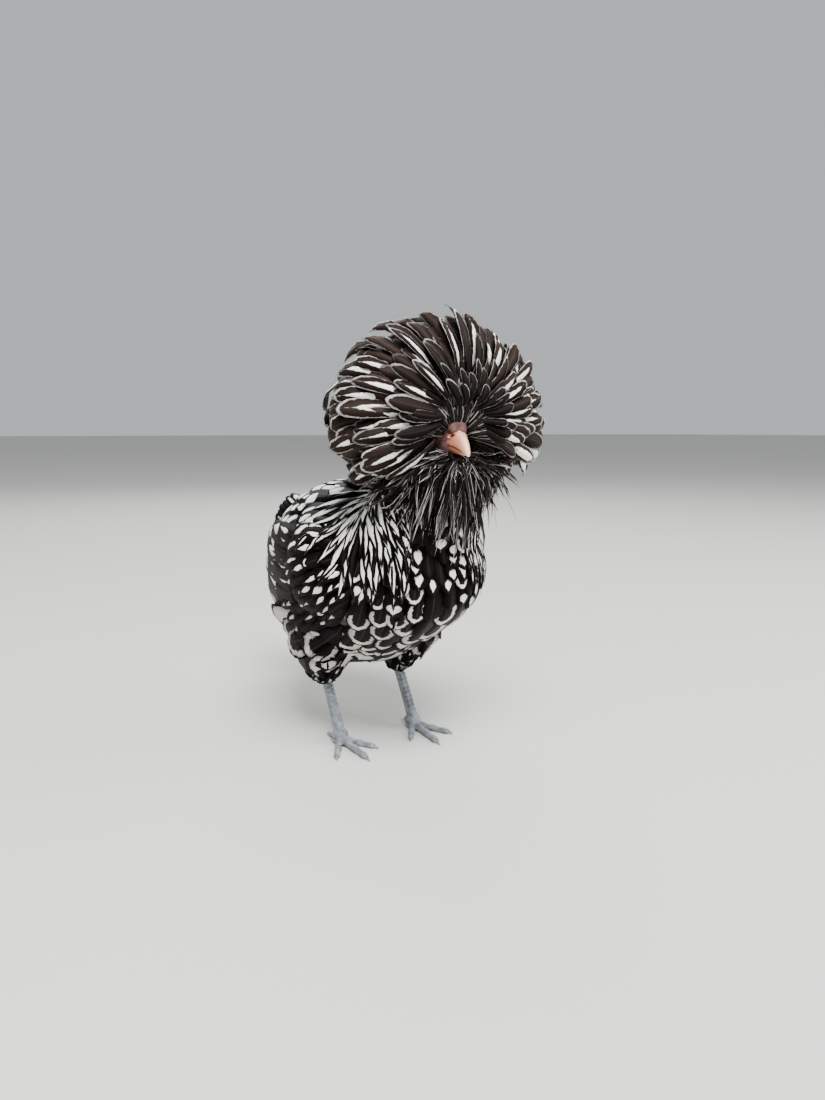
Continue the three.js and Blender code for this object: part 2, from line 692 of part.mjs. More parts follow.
function wingFeathers(seed) {
  const roll = dice(seed);
  return WING.rows.flatMap((row) =>
    Array.from({ length: row.count }, (_, k) => {
      const root = [row.root[0] + row.by[0] * k, row.root[1] + row.by[1] * k];
      const tip = [row.tip[0] + row.tipBy[0] * k + roll(2), row.tip[1] + row.tipBy[1] * k + roll(1)];
      const curve = wingCurve(root, tip, row.lift);
      // The lower edge stands out over the next feather down.
      const face = (t) => {
        const p = curve.getPoint(t);
        const { normal } = body.nearest(V(94, Math.min(p.y, WING_END), p.z));
        return normal.addScaledVector(V(0, 0, 1), Math.tan(rad(WING.tiltDeg)));
      };
      return vane(curve, face, row.width, QUILL, WING.thick);
    }),
  );
}
function mirrored(geometry) {
  const g = geometry.clone().scale(-1, 1, 1);
  return facingOut(g);
}

// Tail
// Each feather lies a step further round the roof than the last, and under it.
function tailFeather(tier, k, side) {
  const { radius, step, under, atRoot } = TAIL.roof;
  const round = rad(step * k);
  const reach = radius - under * k;
  const across = V(side * reach * Math.sin(round), 0, reach * Math.cos(round) - radius);
  const [rise, turn] = [rad(tier.rise), side * rad(TAIL.fan * k)];
  const way = V(Math.sin(turn), Math.cos(turn) * Math.cos(rise), Math.sin(rise));
  const root = V(0, TAIL.root.y, TAIL.root.z + tier.above).addScaledVector(across, atRoot);
  const tip = V(0, TAIL.root.y, TAIL.root.z + tier.above)
    .add(across)
    .addScaledVector(way, tier.length - tier.shorter * k);
  const curve = new THREE.QuadraticBezierCurve3(root, root.clone().lerp(tip, 0.5).add(V(0, 0, 2)), tip);
  const face = V(side * Math.sin(round), 0, Math.cos(round));
  return vane(curve, () => face, tier.width, QUILL);
}
const tailFeathers = TAIL.tiers.flatMap((tier) => [
  tailFeather(tier, 0, 1),
  ...SIDES.flatMap(([, s]) => Array.from({ length: tier.pairs }, (_, k) => tailFeather(tier, k + 1, s))),
]);
const tailCore = ellipsoid(
  V(0, TAIL.core.y, TAIL.core.z),
  V(TAIL.core.half, TAIL.core.length, TAIL.core.height),
  undefined,
  14,
  10,
);

// Legs
const middle = (points) => points.reduce((sum, p) => sum.add(p), V()).divideScalar(points.length);
function limb(from, to, radii, front = V(0, -1, 0), around = 10) {
  const along = to.clone().sub(from).normalize();
  const side = V().crossVectors(along, front).normalize();
  const ahead = V().crossVectors(side, along).normalize();
  const rings = radii.map(({ t, wide, deep }) => {
    const c = from.clone().lerp(to, t);
    return Array.from({ length: around }, (_, k) => {
      const a = (2 * Math.PI * k) / around;
      return c
        .clone()
        .addScaledVector(side, wide * Math.cos(a))
        .addScaledVector(ahead, deep * Math.sin(a));
    });
  });
  return loft(from.clone().addScaledVector(along, -1), rings, to.clone().addScaledVector(along, 1));
}
function shank(x) {
  const { front, side } = LEG.shank;
  const [hock, foot] = [V(x, LEG.hock.y, LEG.hock.z), V(x, LEG.foot.y, LEG.foot.z)];
  const along = foot.clone().sub(hock).normalize();
  const leg = limb(hock, foot, [
    { t: 0, wide: side * 1.35, deep: front * 1.3 },
    { t: 0.12, wide: side * 1.3, deep: front * 1.25 },
    { t: 0.3, wide: side, deep: front },
    { t: 0.7, wide: side * 0.96, deep: front * 0.95 },
    { t: 1, wide: side * 1.15, deep: front * 1.05 },
  ]);
  const ahead = V(0, -1, 0).addScaledVector(along, along.y).normalize();
  const plates = Array.from({ length: LEG.scutes }, (_, k) => {
    const t = mix(0.26, 0.9, k / (LEG.scutes - 1));
    const long = (hock.distanceTo(foot) * 0.64) / LEG.scutes;
    const c = hock.clone().lerp(foot, t);
    const end = (down, proud) =>
      [
        [-0.85, 0.3],
        [0.85, 0.3],
        [0.6, proud],
        [-0.6, proud],
      ].map(([wide, out]) => {
        const p = c.clone().addScaledVector(along, down * long);
        return p.setX(x + wide * side).addScaledVector(ahead, out * front);
      });
    const [top, bottom] = [end(-0.5, 0.93), end(0.5, 1.16)];
    return loft(middle(top), [top, bottom], middle(bottom));
  });
  return fused([leg, ...plates]);
}
const toeEnd = (toe, x, s) => {
  const heading = rad(toe.heading) * s;
  const way = V(Math.sin(heading), -Math.cos(heading), 0);
  const start = V(x, LEG.foot.y, 0);
  return { way, start, end: start.clone().addScaledVector(way, toe.length) };
};
// A toe lies flat on the ground: a row of pads under rounded joints.
function toeForm(toe, x, s) {
  const { way, start, end } = toeEnd(toe, x, s);
  const side = V(-way.y, way.x, 0);
  const around = 6;
  const swell = [1.15, 0.9, 1.04, 0.85, 0.62];
  const rings = swell.map((share, k) => {
    const t = k / (swell.length - 1);
    const r = toe.radius * mix(1, 0.8, t) * share;
    const c = start.clone().lerp(end, t);
    return Array.from({ length: around }, (_, j) => {
      const a = (2 * Math.PI * (j + 0.5)) / around;
      const z = Math.max(0, r * 0.85 + r * 1.05 * Math.sin(a));
      return c.clone().addScaledVector(side, r * Math.cos(a)).setZ(z);
    });
  });
  const low = toe.radius * 0.5;
  const heel = start.clone().addScaledVector(way, -2).setZ(low * 1.4);
  return loft(heel, rings, end.clone().addScaledVector(way, 1.5).setZ(low));
}
const ankle = (x) => ellipsoid(V(x, LEG.foot.y, 7), V(7.5, 8.5, 6.6), undefined, 10, 6);
function foot(x, s) {
  const pad = ankle(x);
  const sole = ellipsoid(V(x, LEG.foot.y - 1, 2.5), V(8, 9, 4), undefined, 8, 5);
  const ground = new THREE.BoxGeometry(200, 200, 40).translate(x, 0, -20);
  const floor = mergeVertices(ground.deleteAttribute("normal").deleteAttribute("uv"), 1e-4);
  return fused([pad, sole, ...TOES.map((toe) => toeForm(toe, x, s))]).subtract(solid(facingOut(floor)));
}
function claw(toe, x, s) {
  const { way, end } = toeEnd(toe, x, s);
  const r = toe.radius * 0.5;
  const root = end.clone().addScaledVector(way, -1.5).setZ(toe.radius * 0.72);
  const curve = new THREE.QuadraticBezierCurve3(
    root,
    root.clone().addScaledVector(way, toe.claw * 0.6).setZ(toe.radius * 1.0),
    root.clone().addScaledVector(way, toe.claw).setZ(0.8),
  );
  const side = V(-way.y, way.x, 0);
  const shares = [1, 0.8, 0.5];
  const rings = shares.map((share, k) => {
    const c = curve.getPoint(k / shares.length);
    return Array.from({ length: 6 }, (_, j) => {
      const a = (2 * Math.PI * j) / 6;
      return c.clone().addScaledVector(side, r * share * Math.cos(a)).add(V(0, 0, r * share * Math.sin(a)));
    });
  });
  return loft(root.clone().addScaledVector(way, -0.5), rings, curve.getPoint(1));
}

// Assembly: what carries a part is cut out of it with the gap between them.
addPart("torso", solid(torso), "white");
const clearOfOthers = (p) => {
  const overWing = Math.abs(p.x) > HACKLE_CLEAR.out && p.y > HACKLE_CLEAR.behind && p.z < HACKLE_CLEAR.below;
  return !overWing && !beardLobes.some((lobe) => insideGlobe(lobe, p, HACKLE_CLEAR.lobe));
};
const neckForms = [neck, ...hackleFeathers(clearOfOthers, 51)];
addPart("neck", lessThan(fused(neckForms), [torso, skull, cheeks]), "white");
const head = fused([skull, cheeks, ...lids]);
const onFace = [upperBill, lowerBill, ...combLobes];
addPart("head", lessThan(lessThan(head, eyes), onFace, WIDE_GAP), "skin");
addPart("bill_upper", lessThan(solid(upperBill), nostrils, 0), "horn");
addPart("bill_lower", lessThan(solid(lowerBill), [upperBill]), "horn");
addPart("comb", lessThan(fused(combLobes), [upperBill], WIDE_GAP), "skin");
SIDES.forEach(([name], k) => addPart("eye_" + name, solid(eyes[k]), "eye"));
const face = [skull, cheeks, upperBill, lowerBill, ...combLobes, ...lids, ...eyes];
const beardForms = beardLobes.map((lobe) => globeSolid(lobe.core, 1, 10, 6));
const beardShell = beardLobes.map((lobe) => globeSolid(lobe, 1.06, 14, 10));
const beard = fused([...beardForms, ...beardFeathers, ...muffFeathers]);
addPart("beard", lessThan(beard.intersect(fused(beardShell)), [neck, torso, ...face]), "black");
const crestForm = fused([crestCore, ...crestFeathers]);
addPart("crest", lessThan(crestForm, [...beardShell, neck, torso, ...face]), "black");

const wingForms = [wingCore(), ...wingFeathers(41)];
const thighs = SIDES.map(([, s]) => column(LEG.thigh.map((t) => ({ ...t, x: s * t.out }))));
addPart("tail", lessThan(fused([tailCore, ...tailFeathers]), [torso]), "black");
SIDES.forEach(([name, s], k) => {
  const forms = s > 0 ? wingForms : wingForms.map(mirrored);
  addPart("wing_" + name, lessThan(fused(forms), [torso, neck, tailCore]), "black");
  addPart("thigh_" + name, lessThan(solid(thighs[k]), [torso]), "black");
  const x = s * LEG.out;
  const onFloor = (g) => g.translate(0, 0, LEG.ground);
  const footForms = [ankle(x), ...TOES.map((toe) => toeForm(toe, x, s))].map(onFloor);
  addPart("shank_" + name, lessThan(shank(x), [thighs[k], ...footForms], WIDE_GAP), "slate");
  const claws = TOES.map((toe) => onFloor(claw(toe, x, s)));
  addPart("foot_" + name, lessThan(foot(x, s).translate(0, 0, LEG.ground), claws, WIDE_GAP), "slate");
  TOES.forEach((toe, j) => addPart("claw_" + name + "_" + toe.name, solid(claws[j]), "claw"));
});

// The origin is the middle of the footprint of the whole hen, at the ground.
const box = new THREE.Box3().setFromObject(hen);
hen.position.set(-(box.min.x + box.max.x) / 2, -(box.min.y + box.max.y) / 2, -box.min.z);
hen.updateMatrixWorld(true);

export default hen;
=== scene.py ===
"""A silver-laced crested and bearded hen, standing: skin, plumage, bill, eyes and legs over the solids.

Lengths in this file are millimetres in the hen's own frame, with its left side at +X, its face towards -Y
and the point midway between its feet below the origin. Every mesh is moved from there to the model's frame,
in metres.
"""

import json
import logging
import math
from dataclasses import dataclass, field
from enum import Enum
from functools import lru_cache
from itertools import product
from typing import Callable, Sequence

import bmesh
import bpy
import numpy as np
from mathutils import Matrix, Vector
from mathutils.bvhtree import BVHTree


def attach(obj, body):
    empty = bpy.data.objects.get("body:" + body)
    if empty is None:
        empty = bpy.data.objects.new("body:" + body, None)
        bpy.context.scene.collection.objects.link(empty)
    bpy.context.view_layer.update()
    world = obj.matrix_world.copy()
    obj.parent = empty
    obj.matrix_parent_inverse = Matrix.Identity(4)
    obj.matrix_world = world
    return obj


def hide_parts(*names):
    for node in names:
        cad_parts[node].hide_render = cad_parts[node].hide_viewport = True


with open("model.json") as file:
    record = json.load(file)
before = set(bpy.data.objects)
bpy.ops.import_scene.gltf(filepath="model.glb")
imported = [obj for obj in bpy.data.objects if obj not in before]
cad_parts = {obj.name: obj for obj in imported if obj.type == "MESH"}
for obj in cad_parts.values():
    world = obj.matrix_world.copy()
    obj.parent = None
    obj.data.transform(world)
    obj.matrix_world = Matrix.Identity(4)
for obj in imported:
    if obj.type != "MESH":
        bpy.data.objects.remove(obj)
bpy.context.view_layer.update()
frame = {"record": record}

log = logging.getLogger("hen")

MM = 0.001
FLOOR = -14.0
FEET_Y = 8.0
SIDES = (("left", 1.0), ("right", -1.0))
Array = np.ndarray
Draws = np.random.Generator
Shape = bmesh.types.BMesh
Piece = bpy.types.Object

# Across each feather's patch on the unwrapped skin, as a share of the map.
PATCH = 0.003


# Places and small sums


def ground_shift() -> Array:
    """Finds where the hen's own origin lies in the model's frame, from the marks under its soles.

    Returns:
        The shift in millimetres.
    """
    soles = [m["pos_m"] for m in frame["record"]["mounts"]]
    mid = np.mean(np.array(soles), axis=0) / MM
    return mid - np.array([0.0, FEET_Y, FLOOR])


SHIFT = ground_shift()


def unit(v: Array) -> Array:
    """Scales vectors to length one."""
    return v / np.maximum(np.linalg.norm(v, axis=-1, keepdims=True), 1e-9)


def mix(a: Array | float, b: Array | float, t: Array | float) -> Array | float:
    """Blends a into b by t."""
    return a + (b - a) * t


def smooth(t: Array, low: float, high: float) -> Array:
    """Rises from 0 at low to 1 at high along an S."""
    s = np.clip((t - low) / (high - low), 0, 1)
    return s * s * (3 - 2 * s)


def fade(t: Array, low: float, high: float) -> Array:
    """Falls from 1 at low to 0 at high along an S."""
    return 1 - smooth(t, low, high)


def srgb(code: str) -> tuple[float, float, float, float]:
    """Turns an sRGB hex colour to the linear values that a shader takes.

    Args:
        code: Six hex digits after a hash.

    Returns:
        Red, green, blue and an alpha of 1.
    """
    parts = [int(code[i : i + 2], 16) / 255 for i in (1, 3, 5)]
    red, green, blue = (c / 12.92 if c <= 0.04045 else ((c + 0.055) / 1.055) ** 2.4 for c in parts)
    return red, green, blue, 1.0


def linked(name: str, data: bpy.types.ID) -> Piece:
    """Makes an object of a mesh, light or camera and puts it in the scene."""
    obj = bpy.data.objects.new(name, data)
    bpy.context.scene.collection.objects.link(obj)
    return obj


def mark_points(obj: Piece, layer: str, values: Sequence[float]) -> None:
    """Keeps a value with each of a piece's points, for its material to read."""
    obj.data.attributes.new(layer, "FLOAT", "POINT").data.foreach_set("value", values)


def object_from(bm: Shape, name: str) -> Piece:
    """Makes a linked object of a bmesh, in metres in the model's frame, and frees the bmesh.

    Args:
        bm: The shape, in millimetres in the hen's frame.
        name: The piece's name.

    Returns:
        The object, at the origin.
    """
    bmesh.ops.translate(bm, vec=Vector(SHIFT), verts=bm.verts)
    bmesh.ops.scale(bm, vec=(MM, MM, MM), verts=bm.verts)
    mesh = bpy.data.meshes.new(name)
    bm.to_mesh(mesh)
    bm.free()
    mesh.shade_smooth()
    return linked(name, mesh)


def drop(obj: Piece) -> None:
    """Removes a working object and its mesh."""
    mesh = obj.data
    bpy.data.objects.remove(obj)
    bpy.data.meshes.remove(mesh)


def fused(bm: Shape, voxel: float, rounds: int) -> Shape:
    """Fuses overlapping closed forms into one even surface.

    Args:
        bm: The forms, in millimetres, which is freed.
        voxel: Grid size of the remesh, in millimetres.
        rounds: How many smoothing passes follow.

    Returns:
        The one surface, in millimetres.
    """
    obj = object_from(bm, "working")
    remesh = obj.modifiers.new("one_surface", "REMESH")
    remesh.mode = "VOXEL"
    remesh.voxel_size = voxel * MM
    even = obj.modifiers.new("even", "SMOOTH")
    even.factor = 0.5
    even.iterations = rounds
    done = obj.evaluated_get(bpy.context.evaluated_depsgraph_get()).to_mesh()
    out = bmesh.new()
    out.from_mesh(done)
    drop(obj)
    bmesh.ops.scale(out, vec=(1 / MM,) * 3, verts=out.verts)
    bmesh.ops.translate(out, vec=-Vector(SHIFT), verts=out.verts)
    return out


@lru_cache(maxsize=None)
def ball(around: int, down: int) -> bpy.types.Mesh:
    """Keeps a ball of radius 1 to be copied.

    Args:
        around: Facets about its poles.
        down: Facets from pole to pole.

    Returns:
        Its mesh.
    """
    bm = bmesh.new()
    bmesh.ops.create_uvsphere(bm, u_segments=around, v_segments=down, radius=1.0)
    mesh = bpy.data.meshes.new("ball")
    bm.to_mesh(mesh)
    bm.free()
    return mesh


def add_ball(bm: Shape, around: int, down: int) -> list[bmesh.types.BMVert]:
    """Adds a ball of radius 1 about the origin.

    Args:
        bm: Where it is added.
        around: Facets about its poles.
        down: Facets from pole to pole.

    Returns:
        Its vertices.
    """
    start = len(bm.verts)
    bm.from_mesh(ball(around, down))
    bm.verts.ensure_lookup_table()
    return bm.verts[start:]


def ellipsoid(
    bm: Shape,
    centre: Sequence[float],
    half: Sequence[float],
    turn: Matrix = Matrix.Identity(4),
    around: int = 40,
    down: int = 24,
) -> None:
    """Adds an ellipsoid to a bmesh, with its half sizes along its own turned axes."""
    place = Matrix.Translation(Vector(centre)) @ turn @ Matrix.Diagonal((*half, 1.0))
    bmesh.ops.transform(bm, matrix=place, verts=add_ball(bm, around, down))


def wrapped(bm: Shape, place: Callable[[float, float], Array], around: int, down: int) -> None:
    """Adds a closed surface that runs from one end to the other.

    Args:
        bm: Where it is added.
        place: The point at a share of the length and an angle about it.
        around: Facets about it.
        down: Facets along it.
    """
    for vert in add_ball(bm, around, down):
        share = math.acos(max(-1.0, min(1.0, vert.co.z))) / math.pi
        vert.co = Vector(place(share, math.atan2(vert.co.y, vert.co.x)))


# Forms of the flesh, with the same sizes as the solids


@dataclass(frozen=True)
class BodyForm:
    """The feathered body from breast to rump, in sections of back, belly and half width."""

    ends: tuple[tuple[float, float], ...] = ((-105, 147), (136, 152))
    square_above: float = 0.86
    square_below: float = 1.06
    stations: tuple[tuple[float, float, float, float], ...] = (
        (-99, 173, 122, 33),
        (-82, 191, 105, 55),
        (-55, 206, 88, 70),
        (-20, 217, 69, 79),
        (20, 222, 52, 82),
        (60, 219, 49, 79),
        (92, 208, 62, 68),
        (117, 192, 90, 49),
        (131, 177, 121, 27),
    )

    def outline(self, t: float) -> Array:
        """The closed outline seen from the side, as a Catmull-Rom curve.

        Args:
            t: Share of the way round, from the breast over the back and home under the belly.

        Returns:
            Place along Y, height and signed half width.
        """
        breast, rump = self.ends
        knots = [(*breast, 0.0)]
        knots += [(y, back, half) for y, back, _, half in self.stations]
        knots += [(*rump, 0.0)]
        knots += [(y, belly, -half) for y, _, belly, half in reversed(self.stations)]
        points = np.array(knots, dtype=float)
        place = (t % 1.0) * len(points)
        first = int(place)
        w = place - first
        a, b, c, d = (points[(first + k) % len(points)] for k in (-1, 0, 1, 2))
        start, end = (c - a) / 2, (d - b) / 2
        return b + start * w + (3 * (c - b) - 2 * start - end) * w**2 + (2 * (b - c) + start + end) * w**3

    def point(self, t: float, angle: float) -> Array:
        """A point of the body.

        Args:
            t: Share of the way from breast to rump.
            angle: Turn from the left side towards the back.

        Returns:
            The point.
        """
        back, belly = self.outline(t / 2), self.outline(1 - t / 2)
        square = self.square_above if math.sin(angle) > 0 else self.square_below
        rise = (math.copysign(abs(math.sin(angle)) ** square, math.sin(angle)) + 1) / 2
        across = math.copysign(abs(math.cos(angle)) ** square, math.cos(angle))
        half = (back[2] - belly[2]) / 2
        return np.array([half * across, mix(belly[0], back[0], rise), mix(belly[1], back[1], rise)])

    def add_to(self, bm: Shape) -> None:
        """Adds the body's surface to a bmesh."""
        wrapped(bm, lambda share, angle: self.point((1 - math.cos(math.pi * share)) / 2, angle), 72, 60)


@dataclass(frozen=True)
class ColumnForm:
    """A limb or neck of level oval sections: centre x, y, height, half width and half depth."""

    sections: tuple[tuple[float, float, float, float, float], ...]

    def at(self, share: float) -> Array:
        """The section at a share of the way along it."""
        rows = np.array(self.sections)
        place = min(share, 0.9999) * (len(rows) - 1)
        low = int(place)
        return mix(rows[low], rows[low + 1], place - low)

    def point(self, share: float, angle: float) -> Array:
        """A point of the column, whose ends are rounded.

        Args:
            share: Share of the way along it.
            angle: Turn about it.

        Returns:
            The point.
        """
        x, y, z, across, deep = self.at(share)
        blunt = min(1.0, math.sin(math.pi * share) * 3.5)
        return np.array([x + across * blunt * math.cos(angle), y + deep * blunt * math.sin(angle), z])

    def add_to(self, bm: Shape) -> None:
        """Adds the column to a bmesh."""
        wrapped(bm, self.point, 40, 40)


NECK = ColumnForm(
    (
        (0.0, -42, 140, 50, 44),
        (0.9, -48, 165, 58, 52),
        (1.7, -60, 190, 54, 46),
        (2.4, -70, 210, 45, 38),
        (3.0, -78, 228, 33, 30),
        (3.6, -84, 244, 21, 22),
        (4.0, -88, 256, 12, 14),
    )
)


def thigh(side: float) -> ColumnForm:
    """The feathered thigh of one side."""
    rows = (
        (32, 8, 112, 16, 22),
        (41, 17, 92, 26, 34),
        (43, 29, 72, 25, 33),
        (41, 37, 53, 16, 23),
        (39, 37, 41, 11, 14),
        (38, 36, 34, 7, 8),
    )
    return ColumnForm(tuple((side * row[0], *row[1:]) for row in rows))


@dataclass(frozen=True)
class Globe:
    """A lopsided ball of feathers: half sizes to the left, right, front, rear, top and under."""

    centre: tuple[float, float, float]
    half: tuple[float, float, float, float, float, float]
    pole: tuple[float, float, float]
    core_centre: tuple[float, float, float]
    core_half: tuple[float, float, float, float, float, float]
    boxy: float = 0.0
    sag: float = 0.0

    @staticmethod
    def sizes(half: Sequence[float], way: Array) -> Array:
        """The half sizes that hold in each direction."""
        left, right, front, rear, top, under = half
        return np.where(way > 0, np.array([left, rear, top]), np.array([right, front, under]))

    def holds(self, p: Array, share: float) -> Array:
        """Tells which points lie within a share of the ball's size."""
        off = p - np.array(self.centre)
        return np.linalg.norm(off / (self.sizes(self.half, off) * share), axis=1) < 1

    def surface(self, way: Array, core: bool = False) -> Array:
        """Points of the ball or of its core.

        Args:
            way: Unit directions from the middle.
            core: True for the core's surface.

        Returns:
            The points.
        """
        centre, half = (self.core_centre, self.core_half) if core else (self.centre, self.half)
        boxy = 0.0 if core else self.boxy
        power = 2 + boxy * np.clip(-2 * way[..., 2:], 0, 1)
        reach = (np.abs(way) ** power).sum(axis=-1, keepdims=True) ** (-1 / power)
        return np.array(centre) + self.sizes(half, way) * way * reach

    def direction(self, polar: Array, turn: Array) -> Array:
        """Directions at a polar angle from the pole and a turn about it.

        Args:
            polar: Angle from the pole.
            turn: Turn about the pole, 0 being upwards.

        Returns:
            Unit directions.
        """
        pole = unit(np.array(self.pole, dtype=float))
        up = unit(np.array([0, 0, 1.0]) - pole * pole[2])
        side = np.cross(up, pole)
        sin = np.sin(polar)
        way = np.cos(polar)[..., None] * pole + (sin * np.cos(turn))[..., None] * up
        way = way + (sin * np.sin(turn))[..., None] * side
        droop = -math.radians(self.sag) * (polar / math.pi) ** 1.2
        y = way[..., 1] * np.cos(droop) - way[..., 2] * np.sin(droop)
        z = way[..., 1] * np.sin(droop) + way[..., 2] * np.cos(droop)
        return np.stack([way[..., 0], y, z], axis=-1)


def with_core(centre: tuple, half: tuple, pole: tuple, share: float = 0.5) -> Globe:
    """A ball whose core is the same form at a share of its size."""
    return Globe(centre, half, pole, centre, tuple(h * share for h in half))


CREST = Globe(
    centre=(8, -86, 273),
    half=(94, 93, 48, 76, 79, 62),
    pole=(0.1, -0.98, -0.08),
    core_centre=(5, -81, 280),
    core_half=(42, 42, 24, 38, 30, 26),
    boxy=0.15,
    sag=38,
)
BEARD = with_core((4, -104, 234), (32, 34, 27, 27, 20, 58), (-0.05, -0.55, 0.83))
MUFF_HALF = (27, 27, 27, 32, 30, 36)
MUFFS = tuple(with_core((4 + side * 29, -89, 239), MUFF_HALF, (side * -0.2, -0.9, 0.38)) for _, side in SIDES)


@dataclass(frozen=True)
class HeadFrame:
    """The head's own frame, whose origin is midway between the corners of the mouth."""

    origin: tuple[float, float, float] = (4, -115, 254)
    yaw: float = -6.0
    pitch: float = 11.0

    def turn(self) -> Matrix:
        """How the head's axes stand: x to its left, y backwards, z up."""
        yaw = math.radians(self.yaw)
        return Matrix.Rotation(yaw, 4, "Z") @ Matrix.Rotation(math.radians(self.pitch), 4, "X")

    def matrix(self) -> Matrix:
        """The head's frame as one matrix."""
        return Matrix.Translation(Vector(self.origin)) @ self.turn()

    def place(self, left: float, ahead: float, up: float) -> Vector:
        """A point of the head: to its left, ahead of the mouth's corners and up."""
        return self.matrix() @ Vector((left, -ahead, up))

    def within(self, point: Vector) -> Vector:
        """A point by the head's own axes."""
        return self.matrix().inverted() @ point


HEAD = HeadFrame()


# Surface that the plumage is laid on


class CoatSurface:
    """A closed surface that feathers are rooted in and laid over."""

    def __init__(self, bm: Shape) -> None:
        """Reads the surface.

        Args:
            bm: Its mesh, in millimetres, which stays with the caller.
        """
        bm.normal_update()
        bmesh.ops.triangulate(bm, faces=bm.faces)
        self.tree = BVHTree.FromBMesh(bm)
        self.corners = np.array([[tuple(v.co) for v in f.verts] for f in bm.faces])
        self.vertex_normals = np.array([[tuple(v.normal) for v in f.verts] for f in bm.faces])

    def nearest(self, points: Array) -> tuple[Array, Array]:
        """The nearest places of the surface, with smooth normals.

        Args:
            points: Any points, in rows.

        Returns:
            The places and the outward normals there.
        """
        places, normals = np.empty_like(points), np.empty_like(points)
        for k, p in enumerate(points):
            at, _, face, _ = self.tree.find_nearest(Vector(p))
            places[k] = at
            corners = self.corners[face]
            pull = 1.0 / (np.linalg.norm(corners - places[k], axis=1) + 0.05)
            normals[k] = pull @ self.vertex_normals[face]
        return places, unit(normals)

    def scattered(self, spacing: Callable[[Array], Array], seed: int, crowd: int = 26) -> tuple[Array, Array]:
        """Spreads places evenly over the surface, with no two nearer than the spacing.

        Args:
            spacing: The least distance at given points, or 0 where nothing grows.
            seed: Seed of the random draws.
            crowd: How many tries are made for each place that fits.

        Returns:
            The places and the normals there.
        """
        rng = np.random.default_rng(seed)
        a, b, c = (self.corners[:, k] for k in range(3))
        area = np.linalg.norm(np.cross(b - a, c - a), axis=1) / 2
        wanted = spacing(self.corners.mean(axis=1))
        weight = np.where(wanted > 0, area / np.maximum(wanted, 1e-3) ** 2, 0)
        tries = int(weight.sum() * crowd)
        face = rng.choice(len(weight), size=tries, p=weight / weight.sum())
        u, v = rng.random((2, tries))
        u, v = np.where(u + v > 1, 1 - u, u)[:, None], np.where(u + v > 1, 1 - v, v)[:, None]
        points = a[face] + (b - a)[face] * u + (c - a)[face] * v
        radius = spacing(points)
        cell = float(radius.max())
        taken: dict[tuple[int, int, int], list[int]] = {}
        kept: list[int] = []
        around = list(product((-1, 0, 1), repeat=3))
        for k, (p, r) in enumerate(zip(points, radius)):
            if r <= 0:
                continue
            x, y, z = (int(w // cell) for w in p)
            near = [j for dx, dy, dz in around for j in taken.get((x + dx, y + dy, z + dz), ())]
            if near and (((points[near] - p) ** 2).sum(axis=1) < r * r).any():
                continue
            taken.setdefault((x, y, z), []).append(k)
            kept.append(k)
        weights = np.concatenate([1 - u - v, u, v], axis=1)[kept]
        normals = unit((self.vertex_normals[face[kept]] * weights[..., None]).sum(axis=1))
        return points[kept], normals


# Plumage


@dataclass(frozen=True)
class VaneShape:
    """The outline of a kind of feather: its half width as a share, at shares of its length."""

    along: tuple[float, ...]
    share: tuple[float, ...]
    cup: float = 0.1
    thick: float = 0.5
    tip_thick: float = 0.45

    def lengthwise(self, power: float = 1.0) -> Array:
        """The stations' shares of the length to a power, shaped to weigh feathers by stations by 3."""
        return (np.array(self.along) ** power)[None, :, None]


ROUNDED = VaneShape((0, 0.22, 0.45, 0.66, 0.82, 0.93, 1.0), (0.26, 0.66, 0.93, 1.0, 0.87, 0.56, 0.12))
SPOON = VaneShape((0, 0.3, 0.55, 0.74, 0.88, 0.96, 1.0), (0.2, 0.5, 0.84, 1.0, 0.86, 0.54, 0.12), 0.07)
LANCE = VaneShape((0, 0.2, 0.45, 0.7, 0.87, 1.0), (0.35, 0.8, 1.0, 0.82, 0.5, 0.06), 0.16, 0.4)
WISP = VaneShape((0, 0.2, 0.4, 0.6, 0.8, 1.0), (0.4, 0.9, 1.0, 0.85, 0.55, 0.05), 0.2, 0.35)
FLIGHT_WIDTHS = (0.45, 0.8, 0.98, 1.0, 0.86, 0.56, 0.14)
FLIGHT = VaneShape((0, 0.15, 0.4, 0.65, 0.85, 0.95, 1.0), FLIGHT_WIDTHS, 0.07, 0.55)


